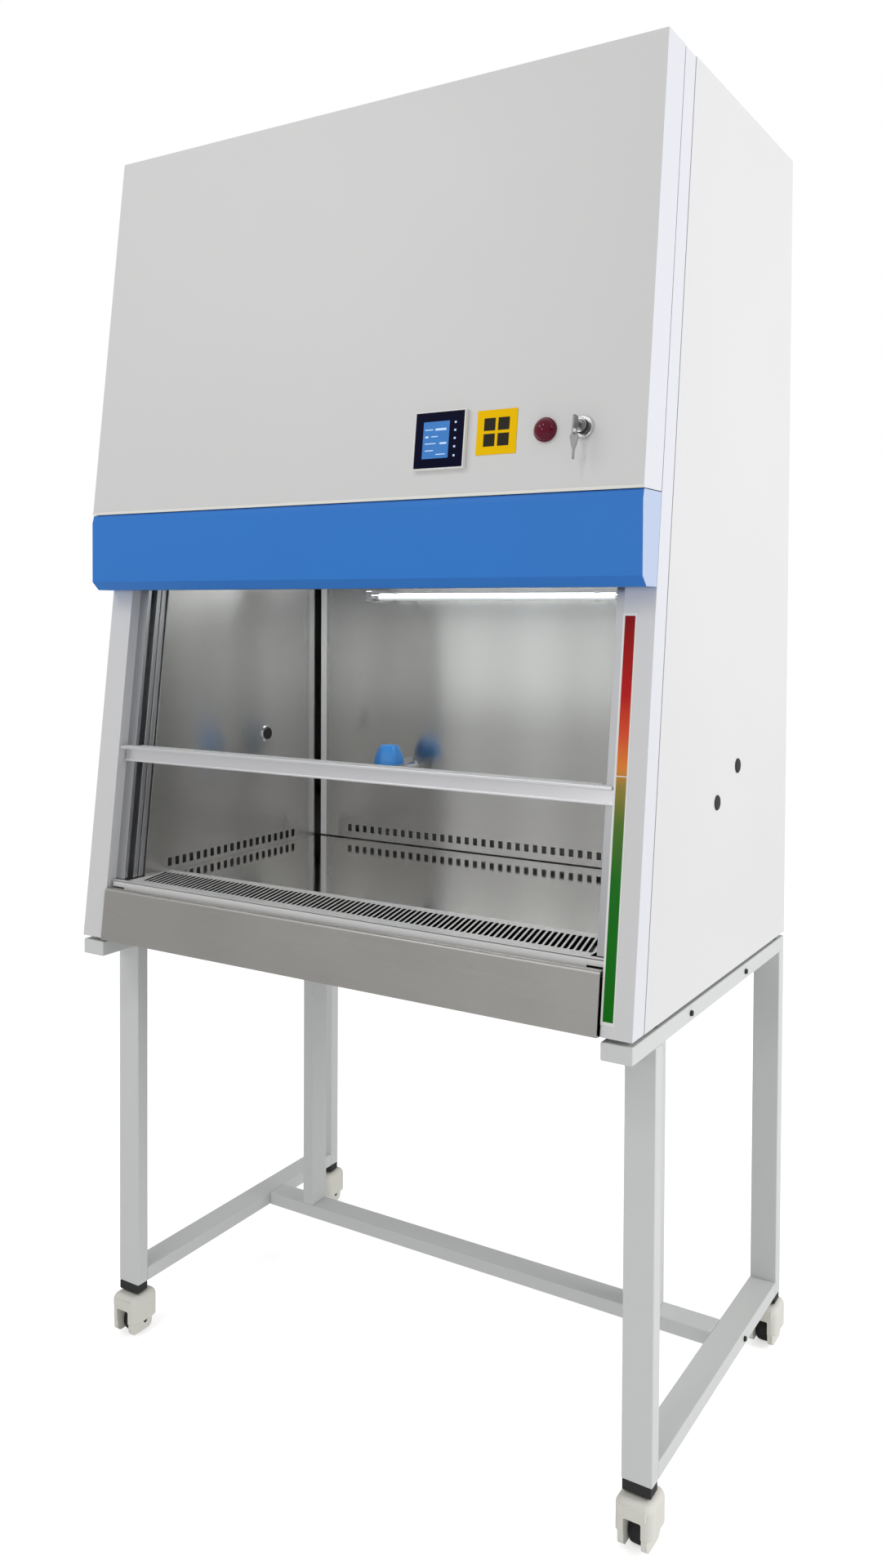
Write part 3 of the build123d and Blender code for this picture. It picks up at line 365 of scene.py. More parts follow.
@dataclass(frozen=True)
class Stainless(Finish):
    """Brushed or polished stainless sheet."""

    grain: Grain = Grain.UPRIGHT
    depth: float = 0.00002
    drift: float = 0.12
    spread: float = 0.1
    stretch: float = 0.0
    metal: float = 1.0
    painted_reflection: float = 0.0

    def dress(self, graph: Graph, shader: Node, where: Socket) -> None:
        """Adds brushing along the grain, wiped patches and, where set, painted reflection in upright
        stripes.

        Args:
            graph: builder over the material.
            shader: its Principled BSDF.
            where: object coordinates.
        """
        shader.inputs["Metallic"].default_value = self.metal
        along = graph.add("ShaderNodeMapping", {"Vector": where, "Scale": self.grain.value})
        brush = self.group(graph, BRUSH, {"Vector": along.outputs[0], "Drift": self.drift})
        tone = brush.outputs["Tone"]
        # slow upright stripes of lighter and darker tone in the colour: painted reflection
        if self.painted_reflection:
            slow = graph.add("ShaderNodeMapping", {"Vector": where, "Scale": (5.0, 5.0, 0.3)})
            sweep = graph.add("ShaderNodeTexNoise", {"Vector": slow.outputs[0], "Scale": 1.0, "Detail": 1.0})
            swing = graph.math("MULTIPLY", graph.math("SUBTRACT", sweep.outputs[0], 0.5), self.painted_reflection)
            tone = graph.math("ADD", tone, swing)
        graph.feed(shader, "Base Color", graph.tint(self.colour, tone))
        if self.stretch:
            shader.inputs["Anisotropic"].default_value = self.stretch
            upright = graph.add("ShaderNodeCombineXYZ", {0: 0.0, 1: 0.0, 2: 1.0})
            graph.feed(shader, "Tangent", upright.outputs[0])
        smudge = self.group(graph, SMUDGE, {"Vector": where, "Scale": 4.0, "Amount": self.spread})
        streak = graph.math("MULTIPLY", brush.outputs["Streak"], self.spread)
        rough = graph.math("ADD", streak, smudge.outputs[0])
        least = max(self.roughness - self.spread / 2, 0.02)
        graph.feed(shader, "Roughness", graph.math("ADD", rough, least))
        if self.depth:
            self.bump(graph, shader, brush.outputs["Height"], self.depth)


@dataclass(frozen=True)
class Moulded(Finish):
    """Moulded plastic or rubber with a fine texture."""

    texture: float = 0.00003
    gloss: float = 0.0
    shine: float = 0.35

    def dress(self, graph: Graph, shader: Node, where: Socket) -> None:
        """Adds a spark-eroded texture and a slow drift of tone.

        Args:
            graph: builder over the material.
            shader: its Principled BSDF.
            where: object coordinates.
        """
        height = self.peel(graph, shader, where, 1400.0, 0.12)
        shader.inputs["Specular IOR Level"].default_value = self.shine
        shader.inputs["Coat Weight"].default_value = self.gloss
        shader.inputs["Coat Roughness"].default_value = 0.08
        if self.texture:
            self.bump(graph, shader, height, self.texture)


@dataclass(frozen=True)
class ClearGlass(Finish):
    """Toughened sash glass."""

    def dress(self, graph: Graph, shader: Node, where: Socket) -> None:
        """Lets light through, with faint wiped patches.

        Args:
            graph: builder over the material.
            shader: its Principled BSDF.
            where: object coordinates.
        """
        shader.inputs["Transmission Weight"].default_value = 1.0
        shader.inputs["IOR"].default_value = 1.03
        shader.inputs["Metallic"].default_value = 0.0
        smudge = self.group(graph, SMUDGE, {"Vector": where, "Scale": 3.0, "Amount": 0.02})
        graph.feed(shader, "Roughness", smudge.outputs[0])


@dataclass(frozen=True)
class Glow(Finish):
    """Surface that gives its own light."""

    strength: float = 1.0

    def dress(self, graph: Graph, shader: Node, where: Socket) -> None:
        """Sets the emission.

        Args:
            graph: builder over the material.
            shader: its Principled BSDF.
            where: object coordinates.
        """
        shader.inputs["Emission Color"].default_value = (*self.colour, 1.0)
        shader.inputs["Emission Strength"].default_value = self.strength
        self.peel(graph, shader, where, 300.0, 0.05)


@dataclass(frozen=True)
class Display(Finish):
    """Lit blue display with a cloudy lighter side."""

    def dress(self, graph: Graph, shader: Node, where: Socket) -> None:
        """Shades the display from deep to light blue.

        Args:
            graph: builder over the material.
            shader: its Principled BSDF.
            where: object coordinates.
        """
        cloud = graph.add("ShaderNodeTexNoise", {"Vector": where, "Scale": 26.0, "Detail": 3.0})
        stops = [(0.3, (0.0, 0.07, 0.42)), (0.55, (0.01, 0.13, 0.62)), (0.75, (0.06, 0.28, 0.75))]
        blue = graph.ramp(cloud.outputs[0], stops)
        graph.feed(shader, "Base Color", blue)
        graph.feed(shader, "Emission Color", blue)
        shader.inputs["Emission Strength"].default_value = 0.4
        shader.inputs["Specular IOR Level"].default_value = 0.05
        shader.inputs["Coat Roughness"].default_value = 0.03


@dataclass(frozen=True)
class ColourScale(Finish):
    """Printed film that runs from green at the foot to red at the head."""

    foot: float = 0.816
    head: float = 1.394

    def dress(self, graph: Graph, shader: Node, where: Socket) -> None:
        """Maps height to colour.

        Args:
            graph: builder over the material.
            shader: its Principled BSDF.
            where: object coordinates.
        """
        height = graph.add("ShaderNodeSeparateXYZ", {0: where}).outputs[2]
        span = {"Value": height, "From Min": self.foot, "From Max": self.head}
        share = graph.add("ShaderNodeMapRange", span).outputs[0]
        stops = [
            (0.0, (0.0, 0.16, 0.0)),
            (0.34, (0.01, 0.17, 0.012)),
            (0.48, (0.09, 0.19, 0.03)),
            (0.575, (0.33, 0.25, 0.05)),
            (0.62, (0.80, 0.25, 0.04)),
            (0.70, (0.75, 0.09, 0.03)),
            (0.80, (0.52, 0.008, 0.008)),
            (1.0, (0.26, 0.0, 0.002)),
        ]
        graph.feed(shader, "Base Color", graph.ramp(share, stops))
        shader.inputs["Specular IOR Level"].default_value = 0.15
        peel = self.group(graph, PEEL, {"Vector": where, "Scale": 900.0, "Drift": 0.02})
        self.bump(graph, shader, peel.outputs["Height"], 0.00001)


WHITE_COAT = PowderCoat("white_coat", (0.80, 0.80, 0.81), 0.42)
# same paint as the cover and posts, made paler and bluer for their side faces: painted light
LIT_SIDE_COAT = PowderCoat("flange_coat", (0.80, 0.815, 0.87), 0.4)
POST_COAT = PowderCoat("post_coat", (0.74, 0.74, 0.75), 0.42)
GREY_COAT = PowderCoat("hood_coat", (0.75, 0.75, 0.747), 0.45, shine=0.3)
STAND_COAT = PowderCoat("stand_coat", (0.71, 0.725, 0.715), 0.4)
BLUE_COAT = PowderCoat("band_coat", (0.04, 0.22, 0.68), 0.4, drift=0.12, coat=0.0, shine=0.18)
# trim ends: partly their own pale paint, partly painted light in their blue-lavender tint
CAP_COAT = PowderCoat("band_end_coat", (0.54, 0.63, 0.84), 0.4)
# colour of the pale strip on the cover's lower edge: painted highlight
BEAD_HIGHLIGHT_COAT = PowderCoat("edge_bead", (0.88, 0.87, 0.82), 0.35)
WALL_STEEL = Stainless(
    "chamber_steel", (0.55, 0.545, 0.535), 0.2, depth=0.0, drift=0.05, spread=0.02, stretch=0.85, painted_reflection=0.6
)
# pale, half-metallic copy of the chamber steel: painted highlight on the rear wall's slanted sides, the
# pan's front web and the outer corner strips
HIGHLIGHT_STEEL = Stainless("bevel_steel", (0.88, 0.88, 0.88), 0.3, depth=0.000002, drift=0.05, metal=0.4)
FLOOR_STEEL = Stainless(
    "floor_steel", (0.70, 0.695, 0.68), 0.07, grain=Grain.ACROSS, depth=0.0000005, drift=0.04, spread=0.03
)
LIP_STEEL = Stainless(
    "lip_steel", (0.45, 0.437, 0.42), 0.34, grain=Grain.ACROSS, depth=0.00003, drift=0.3, spread=0.18
)
GRILLE_STEEL = Stainless(
    "grille_steel", (0.90, 0.90, 0.89), 0.3, grain=Grain.ACROSS, depth=0.000004, drift=0.05, metal=0.4
)
# stainless pan coloured near black: painted shade under the work floor
PAN_SHADE_STEEL = Stainless("pan_steel", (0.03, 0.03, 0.03), 0.5, grain=Grain.DEPTH)
BRIGHT_STEEL = Stainless(
    "bright_steel", (0.66, 0.66, 0.67), 0.16, grain=Grain.ACROSS, depth=0.000004, drift=0.05
)
KEY_STEEL = Stainless("key_steel", (0.30, 0.30, 0.30), 0.38, depth=0.000002, drift=0.1)
ANODISED = Stainless("anodised", (0.52, 0.525, 0.54), 0.3, grain=Grain.UPRIGHT, depth=0.000006, drift=0.05)
RAIL_STEEL = Stainless(
    "rail_aluminium", (0.78, 0.78, 0.80), 0.3, grain=Grain.ACROSS, depth=0.000004, drift=0.05
)
DARK_SCREW = Stainless("dark_screw", (0.05, 0.05, 0.055), 0.4)
BLACK_PLASTIC = Moulded("black_plastic", (0.012, 0.012, 0.013), 0.5)
BEZEL_BLACK = Moulded("bezel_black", (0.003, 0.003, 0.022), 0.3, texture=0.000004, shine=0.04)
# white of the display frame and scale border, also the painted highlight on the sash rail's top
WHITE_FRAMES_AND_RAIL_HIGHLIGHT = Moulded("frame_white", (0.86, 0.86, 0.84), 0.4)
CREAM_PLASTIC = Moulded("cream_plastic", (0.70, 0.70, 0.65), 0.38, gloss=0.1)
WHEEL_BLACK = Moulded("wheel_black", (0.010, 0.010, 0.010), 0.55)
# black of the balance belts, also the painted shade on the grille's slot walls
BLACK_FOR_BELTS_AND_SLOT_SHADE = Moulded("belt_black", (0.02, 0.02, 0.02), 0.7)
PLATE_YELLOW = Moulded("plate_yellow", (1.0, 0.60, 0.0), 0.5, texture=0.00001, shine=0.05)
MARK_BLACK = Moulded("mark_black", (0.02, 0.017, 0.008), 0.45, texture=0.00001, shine=0.15)
DOME_RED = Moulded("dome_red", (0.13, 0.0, 0.018), 0.1, texture=0.0, shine=0.3)
TAP_BLUE = Moulded("tap_blue", (0.0, 0.20, 0.82), 0.2, texture=0.000004, gloss=0.3, shine=0.3)
FILTER_WHITE = Moulded("filter_white", (0.80, 0.80, 0.77), 0.9, texture=0.0004)
TUBE_GLOW = Glow("tube_glow", (0.86, 0.88, 0.90), 0.3, strength=0.2)
ICON_GLOW = Glow("icon_glow", (0.55, 0.75, 1.0), 0.4, strength=0.2)
SASH_GLASS = ClearGlass("sash_glass_clear", (0.97, 0.985, 0.98), 0.0)
SCREEN_BLUE = Display("screen_blue", (0.02, 0.2, 0.65), 0.15)
SCALE_FILM = ColourScale("scale_film", (0.4, 0.1, 0.03), 0.4)


# ---- mesh workshop
@dataclass
class Workshop:
    """Makes pieces, dresses CAD nodes and keeps track of bodies and slots."""

    bodies: Dict[str, str] = field(default_factory=dict)
    slots: Dict[str, str] = field(default_factory=dict)

    def __post_init__(self) -> None:
        """Reads which body and slot each CAD node belongs to."""
        record = frame["record"]
        for body, nodes in record["behaviour"]["bodies"].items():
            for node in nodes:
                self.bodies[node] = body
        for entry in record["subparts"]:
            self.slots[entry["node"]] = entry["material_slot"]

    def dress(self, node: str, finish: Finish) -> None:
        """Gives a CAD node a finish.

        Args:
            node: CAD node name.
            finish: its finish.
        """
        mesh = frame["nodes"][node].data
        mesh.materials.clear()
        mesh.materials.append(finish.material())
        LOG.info("dressed %s with %s", node, finish.name)

    def seat(
        self,
        name: str,
        bm: Mesh,
        finishes: Sequence[Finish],
        stands_for: Sequence[str] = (),
        rides: str = "",
        smooth: float = 35.0,
    ) -> bpy.types.Object:
        """Turns a bmesh into a finished piece on its body.

        Args:
            name: piece name.
            bm: mesh in place; it is freed.
            finishes: finishes by material number.
            stands_for: CAD nodes that the piece replaces.
            rides: body, when it replaces nothing.
            smooth: edges flatter than this many degrees look smooth.

        Returns:
            The new object.
        """
        limit = math.radians(smooth)
        bm.normal_update()
        for face in bm.faces:
            face.smooth = True
        for edge in bm.edges:
            edge.smooth = not edge.is_manifold or edge.calc_face_angle(0.0) < limit
        mesh = bpy.data.meshes.new(name)
        bm.to_mesh(mesh)
        bm.free()
        for finish in finishes:
            mesh.materials.append(finish.material())
        piece = bpy.data.objects.new(name, mesh)
        bpy.context.scene.collection.objects.link(piece)
        weighted = piece.modifiers.new("weighted", "WEIGHTED_NORMAL")
        weighted.keep_sharp = True
        if stands_for:
            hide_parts(*stands_for)
            rides = self.bodies[stands_for[0]]
        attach(piece, rides)
        LOG.info("built %s on %s", name, rides)
        return piece

    def merged(self, node: str) -> Mesh:
        """Joins up a copy of a CAD node's mesh, with flat faces in one.

        Args:
            node: CAD node name.

        Returns:
            The merged mesh.
        """
        bm = bmesh.new()
        bm.from_mesh(frame["nodes"][node].data)
        bmesh.ops.remove_doubles(bm, verts=bm.verts, dist=1e-5)
        bmesh.ops.dissolve_limit(bm, angle_limit=math.radians(0.8), verts=bm.verts, edges=bm.edges)
        return bm

    def soften(self, bm: Mesh, width: float, segments: int = 2, sharp: float = 40.0) -> None:
        """Rounds every sharp edge.

        Args:
            bm: mesh to change.
            width: bevel width in metres.
            segments: bevel steps.
            sharp: smallest angle in degrees that counts as an edge.
        """
        limit = math.radians(sharp)
        edges = [e for e in bm.edges if e.is_manifold and e.calc_face_angle(0.0) > limit]
        bmesh.ops.bevel(
            bm,
            geom=edges,
            offset=width,
            segments=segments,
            profile=0.5,
            affect="EDGES",
            material=-1,
            clamp_overlap=True,
        )

    def refine(
        self,
        node: str,
        finish: Finish,
        width: float,
        segments: int = 2,
        second: Optional[Finish] = None,
        pick: Optional[Chooser] = None,
    ) -> bpy.types.Object:
        """Replaces a CAD node by its own shape with rounded edges.

        Args:
            node: CAD node name.
            finish: its finish.
            width: bevel width in metres.
            segments: bevel steps.
            second: finish of the faces that pick chooses.
            pick: tells from a face's middle and normal whether it takes the second finish.

        Returns:
            The new piece.
        """
        bm = self.merged(node)
        self.soften(bm, width, segments)
        bm.normal_update()
        for face in bm.faces:
            face.material_index = 1 if pick and pick(face.calc_center_median(), face.normal) else 0
        return self.seat(node + "_skin", bm, [finish, second] if second else [finish], [node])

    def box(
        self, low: Sequence[float], high: Sequence[float], width: float = 0.0, segments: int = 2
    ) -> Mesh:
        """Makes a box with rounded edges.

        Args:
            low: its lowest corner.
            high: its highest corner.
            width: bevel width, or 0 for square edges.
            segments: bevel steps.

        Returns:
            The mesh.
        """
        bm = bmesh.new()
        bmesh.ops.create_cube(bm, size=1.0)
        size = Vector(high) - Vector(low)
        bmesh.ops.scale(bm, vec=size, verts=bm.verts)
        bmesh.ops.translate(bm, vec=(Vector(low) + Vector(high)) / 2, verts=bm.verts)
        if width:
            self.soften(bm, width, segments)
        return bm

    def lathe(self, profile: Sequence[Tuple[float, float]], steps: int = 48) -> Mesh:
        """Spins a (radius, height) profile about Z.

        Args:
            profile: points from the foot on the axis to the head on the axis.
            steps: facets round the turn.

        Returns:
            A closed mesh.
        """
        bm = bmesh.new()
        points = [bm.verts.new((radius, 0.0, height)) for radius, height in profile]
        outline = points + [bm.edges.new(pair) for pair in zip(points, points[1:])]
        bmesh.ops.spin(
            bm, geom=outline, axis=(0, 0, 1), cent=(0, 0, 0), steps=steps, angle=math.tau, use_merge=True
        )
        bmesh.ops.remove_doubles(bm, verts=bm.verts, dist=1e-6)
        bmesh.ops.recalc_face_normals(bm, faces=bm.faces)
        return bm

    def place(self, bm: Mesh, matrix: Matrix) -> Mesh:
        """Moves a whole mesh by a matrix and returns it."""
        bmesh.ops.transform(bm, matrix=matrix, verts=bm.verts)
        return bm

    def join(
        self, pieces: Iterable[Mesh], numbers: Optional[Sequence[int]] = None
    ) -> Mesh:
        """Joins meshes into one.

        Args:
            pieces: meshes to join; they are freed.
            numbers: material number of each, or none for 0.

        Returns:
            The joined mesh.
        """
        whole = bmesh.new()
        for place, part in enumerate(pieces):
            number = numbers[place] if numbers else 0
            for face in part.faces:
                face.material_index = number
            scratch = bpy.data.meshes.new("scratch")
            part.to_mesh(scratch)
            part.free()
            whole.from_mesh(scratch)
            bpy.data.meshes.remove(scratch)
        return whole


# ---- leaning front
@dataclass(frozen=True)
class LeaningFront:
    """The plane of the leaning cabinet front."""

    lean: float = 0.1194
    base_y: float = -0.3761
    base_z: float = 0.793
    hood_proud: float = 0.0686

    def y(self, z: float, back: float = 0.0) -> float:
        """Y of the plane at height z, moved back."""
        return self.base_y + self.lean * (z - self.base_z) + back

    def at(self, x: float, z: float, back: float) -> Matrix:
        """Makes a local frame on the plane: X right, Y up the slope, Z outward.

        Args:
            x: place across the cabinet.
            z: height.
            back: distance behind the plane.

        Returns:
            The frame's matrix.
        """
        length = math.hypot(1.0, self.lean)
        sine, cosine = self.lean / length, 1.0 / length
        turn = Matrix(((1, 0, 0), (0, sine, -cosine), (0, cosine, sine))).to_4x4()
        return Matrix.Translation((x, self.y(z, back), z)) @ turn

    def on_hood(self, x: float, z: float) -> Matrix:
        """Local frame on the hood's face."""
        return self.at(x, z, -self.hood_proud)


FRONT = LeaningFront()


def across(centre: Sequence[float]) -> Matrix:
    """Matrix that lays a turned piece along X at a centre."""
    return Matrix.Translation(centre) @ Matrix.Rotation(math.pi / 2, 4, "Y")


# ---- sub-assemblies
@dataclass
class Stand:
    """Welded tube stand."""

    shop: Workshop
    corner: float = 0.0022
    post_width: float = 0.025

    def build(self) -> None:
        """Builds the tubes with rounded corners."""
        tubes = [f"{kind}_rail_{side}" for kind in ("upper", "lower") for side in ("left", "right")]
        tubes += [f"leg_{end}_{side}" for end in ("front", "rear") for side in ("left", "right")]
        tubes += ["upper_cross_bar", "lower_cross_bar"]
        for node in tubes:
            low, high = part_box(node)
            self.shop.seat(f"{node}_tube", self.shop.box(low, high, self.corner, 3), [STAND_COAT], [node])
        self.middle_posts()
        self.shop.dress("stand_bolts", DARK_SCREW)

    def middle_posts(self) -> None:
        """Builds the two slim uprights between the cross bars."""
        low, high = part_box("middle_posts")
        posts = [
            self.shop.box(low, (low.x + self.post_width, high.y, high.z), self.corner, 3),
            self.shop.box((high.x - self.post_width, low.y, low.z), high, self.corner, 3),
        ]
        self.shop.seat("middle_post_pair", self.shop.join(posts), [STAND_COAT], ["middle_posts"])


@dataclass
class Casters:
    """Hooded swivel casters."""

    shop: Workshop
    radius: float = 0.025
    half_width: float = 0.012

    def build(self) -> None:
        """Builds the plates, hoods and wheels."""
        self.shop.refine("caster_plates", BLACK_PLASTIC, 0.0008)
        for end in ("front", "rear"):
            for side in ("left", "right"):
                self.shop.refine(f"caster_body_{end}_{side}", CREAM_PLASTIC, 0.0012)
                self.wheel(end, side)

    def wheel(self, end: str, side: str) -> None:
        """Turns one wheel with a crowned tread, dished sides and stub axles.

        Args:
            end: front or rear.
            side: left or right.
        """
        node = f"caster_wheel_{end}_{side}"
        low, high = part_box(node)
        centre = (low + high) / 2
        half = self.half_width
        outer = self.radius
        stub = (high.x - low.x) / 2
        profile = [(0.0, -stub), (0.005, -stub), (0.005, -half + 0.002)]
        profile += [(0.016, -half + 0.003), (0.0165, -half)]
        profile += [(outer - 0.003, -half), (outer - 0.0008, -half + 0.0022), (outer, -half + 0.006)]
        profile += [(radius, -height) for radius, height in reversed(profile)]
        bm = self.shop.lathe(profile, 56)
        self.shop.place(bm, across(centre))
        self.shop.seat(f"{node}_turned", bm, [WHEEL_BLACK], [node], smooth=30.0)


@dataclass
class Shell:
    """Outer sheets, posts and the drain panel."""

    shop: Workshop
    film_half: float = 0.008
    inner_plug: Point = (-0.470, 0.0595, 1.1395)
    outer_plugs: Tuple[Point, Point] = ((0.550, 0.0719, 1.1396), (0.550, -0.0303, 1.0891))

    def build(self) -> None:
        """Rounds the visible sheet edges and dresses the rest."""
        shop = self.shop
        for node in ("side_panel_left", "side_panel_right", "rear_panel", "top_panel"):
            shop.dress(node, WHITE_COAT)
        for node in ("front_post_left", "front_post_right"):
            # the posts' outer sides take a paler copy of their paint: painted light
            shop.refine(node, POST_COAT, 0.0009, 2, LIT_SIDE_COAT, self.on_lit_outer_side)
        shop.dress("drain_panel", LIP_STEEL)
        # the pan is near black as painted shade, its front web pale as painted highlight
        shop.refine("base_pan", PAN_SHADE_STEEL, 0.0003, 1, HIGHLIGHT_STEEL, self.on_lit_front_web)
        shop.refine("mains_inlet", BLACK_PLASTIC, 0.0004, 1)
        self.scale_film()
        self.plugs()

    @staticmethod
    def on_lit_outer_side(middle: Vector, normal: Vector) -> bool:
        """Tells whether a post's face looks away from the chamber; it takes the painted lit-side colour."""
        return normal.x * math.copysign(1.0, middle.x) > 0.7

    @staticmethod
    def on_lit_front_web(middle: Vector, normal: Vector) -> bool:
        """Tells whether a face of the pan is its front web, which takes the painted highlight steel."""
        return normal.y < -0.7 and middle.y < -0.3

    def scale_film(self) -> None:
        """Builds the colour strip with its pale border and cross line."""
        shop = self.shop
        low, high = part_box("scale_strip")
        half = self.film_half
        reach = (high.z - low.z) * math.hypot(1.0, FRONT.lean) / 2
        place = FRONT.at((low.x + high.x) / 2, (high.z + low.z) / 2, 0.0)
        border = shop.box((-0.0115, -reach - 0.005, 0.0), (0.0108, reach + 0.004, 0.0005), 0.0002, 1)
        film = shop.box((-half, -reach, 0.0005), (half, reach, 0.0009), 0.0002, 1)
        line = shop.box((-half, 0.0568, 0.0009), (half, 0.0582, 0.0010))
        whole = shop.place(shop.join([border, film, line], [0, 1, 0]), place)
        shop.seat("scale_strip_film", whole, [WHITE_FRAMES_AND_RAIL_HIGHLIGHT, SCALE_FILM], ["scale_strip"])

    def plugs(self) -> None:
        """Turns the three round plugs, the inner one in a pale ring."""
        ring = [(0.0, 0.0), (0.018, 0.0), (0.018, 0.0018), (0.0172, 0.0026), (0.013, 0.0026)]
        ring += [(0.0125, 0.0016), (0.0, 0.0016)]
        knob = [(0.0, 0.0012), (0.0118, 0.0012), (0.0118, 0.0042), (0.0105, 0.0052), (0.0, 0.0056)]
        cap = [(0.0, 0.0), (0.0125, 0.0), (0.0125, 0.0012), (0.0112, 0.0024), (0.0, 0.0028)]
        turned = [(ring, self.inner_plug), (knob, self.inner_plug)]
        turned += [(cap, place) for place in self.outer_plugs]
        parts = [self.shop.place(self.shop.lathe(profile), across(place)) for profile, place in turned]
        whole = self.shop.join(parts, [1, 0, 0, 0])
        self.shop.seat("plug_set", whole, [BLACK_PLASTIC, BRIGHT_STEEL], ["wall_plugs"])


@dataclass
class Chamber:
    """Stainless work chamber with its lamp and tap."""

    shop: Workshop
    cap_length: float = 0.014
    flute_start: float = 0.012
    flute_depth: float = 0.10
    flutes: int = 6

    def build(self) -> None:
        """Dresses the walls and builds lamp and tap."""
        for node in ("inner_wall_left", "inner_wall_right"):
            self.shop.dress(node, WALL_STEEL)
        # the rear wall's slanted sides take the paler steel as painted highlight
        self.shop.refine("back_baffle", WALL_STEEL, 0.0004, 1, HIGHLIGHT_STEEL, self.on_lit_bevel)
        self.shop.refine("work_floor", FLOOR_STEEL, 0.0006)
        self.grille()
        self.corner_trims()
        self.shop.refine("lamp_holders", BRIGHT_STEEL, 0.0008)
        self.lamp()
        self.tap()

    @staticmethod
    def on_lit_bevel(middle: Vector, normal: Vector) -> bool:
        """Tells whether a face of the rear wall is one of its slanted sides, which take the painted
        highlight steel.
        """
        return 0.3 < abs(normal.x) < 0.95

    def grille(self) -> None:
        """Gives the slotted plate its turned-down front edge and black slot walls as painted shade."""
        low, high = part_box("intake_grille")
        foot = (low.x + 0.001, low.y, low.z - 0.0095)
        fold = self.shop.box(foot, (high.x - 0.001, low.y + 0.0018, high.z), 0.0008, 2)
        plate = self.shop.merged("intake_grille")
        whole = self.shop.join([plate, fold])
        whole.normal_update()
        # the slot walls are coloured black: painted shade inside the slots
        for face in whole.faces:
            inside = low.y + 0.004 < face.calc_center_median().y < high.y - 0.004
            face.material_index = 1 if inside and abs(face.normal.z) < 0.5 else 0
        self.shop.seat("intake_grille_folded", whole, [GRILLE_STEEL, BLACK_FOR_BELTS_AND_SLOT_SHADE], ["intake_grille"])

    def corner_trims(self) -> None:
        """Adds the slim strips beside the rear wall's bevels, the outer ones pale as painted highlight."""
        low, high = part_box("back_baffle")
        strips = []
        for side in (-1, 1):
            for outer, inner, front, width, segments in (
                (high.x + 0.0145, high.x - 0.001, 0.0005, 0.0006, 2),
                (high.x - 0.001, high.x - 0.021, 0.0002, 0.0003, 1),
            ):
                left, right = sorted((side * outer, side * inner))
                near = (left, low.y + front, low.z)
                strips.append(self.shop.box(near, (right, low.y + front + 0.002, high.z), width, segments))
        # outer strips take the painted highlight steel, inner ones the chamber steel
        whole = self.shop.join(strips, [0, 1, 0, 1])
        body = self.shop.bodies["back_baffle"]
        self.shop.seat("corner_trims", whole, [HIGHLIGHT_STEEL, WALL_STEEL], rides=body)

    def lamp(self) -> None:
        """Turns the tube with its end caps."""
        low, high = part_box("lamp_tube")
        half = (high.x - low.x) / 2
        seam = half - self.cap_length
        end = [(0.0, -half), (0.008, -half), (0.0085, -half + 0.0008), (0.0085, -seam), (0.008, -seam)]
        end.append((0.0, -seam))
        tube = [(0.0, -seam), (0.0078, -seam), (0.0078, seam), (0.0, seam)]
        other = [(radius, -height) for radius, height in reversed(end)]
        turn = across((low + high) / 2)
        parts = [self.shop.place(self.shop.lathe(p, 32), turn) for p in (tube, end, other)]
        whole = self.shop.join(parts, [0, 1, 1])
        self.shop.seat("lamp_tube_turned", whole, [TUBE_GLOW, BRIGHT_STEEL], ["lamp_tube"])

    def tap(self) -> None:
        """Refines the tap and builds its bell handle."""
        self.shop.refine("tap_body", BRIGHT_STEEL, 0.0006)
        low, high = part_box("tap_handle")
        centre = Vector(((low.x + high.x) / 2, (low.y + high.y) / 2, low.z))
        rise = high.z - low.z
        profile = [(0.0051, 0.0), (0.0300, 0.0), (0.0312, 0.002), (0.0305, 0.010), (0.0275, 0.020)]
        profile += [(0.0235, 0.030), (0.0205, 0.0360), (0.0180, rise + 0.0062)]
        profile += [(0.0130, rise + 0.0070), (0.0, rise + 0.0070)]
        bm = self.shop.lathe(profile, 72)
        for vert in bm.verts:
            reach = math.hypot(vert.co.x, vert.co.y) - self.flute_start
            if reach > 0:
                turn = math.atan2(vert.co.y, vert.co.x)
                wave = 0.5 - 0.5 * math.cos(self.flutes * turn + math.pi)
                depth = self.flute_depth * wave * min(1.0, reach / 0.02)
                vert.co.x *= 1.0 - depth
                vert.co.y *= 1.0 - depth
        self.shop.place(bm, Matrix.Translation(centre))
        self.shop.seat("tap_handle_bell", bm, [TAP_BLUE], ["tap_handle"])


@dataclass
class Sash:
    """Sliding window with its rail, guides and balance drive."""

    shop: Workshop

    def build(self) -> None:
        """Refines the rail and guides and dresses the drive."""
        shop = self.shop
        # the rail's upward faces are white: painted highlight on the aluminium
        shop.refine("sash_rail", RAIL_STEEL, 0.0008, 2, WHITE_FRAMES_AND_RAIL_HIGHLIGHT, self.on_lit_top)
        shop.refine("sash_top_clamp", ANODISED, 0.0005, 1)
        for side in ("left", "right"):
            shop.refine(f"sash_guide_{side}", ANODISED, 0.0006, 1)
        shop.dress("sash_glass", SASH_GLASS)
        shop.dress("sash_belts", BLACK_FOR_BELTS_AND_SLOT_SHADE)
        for node in ("upper_shaft", "lower_shaft"):
            shop.dress(node, BRIGHT_STEEL)

    @staticmethod
    def on_lit_top(middle: Vector, normal: Vector) -> bool:
        """Tells whether a face of the rail looks up; it takes white as a painted highlight."""
        return normal.z > 0.7


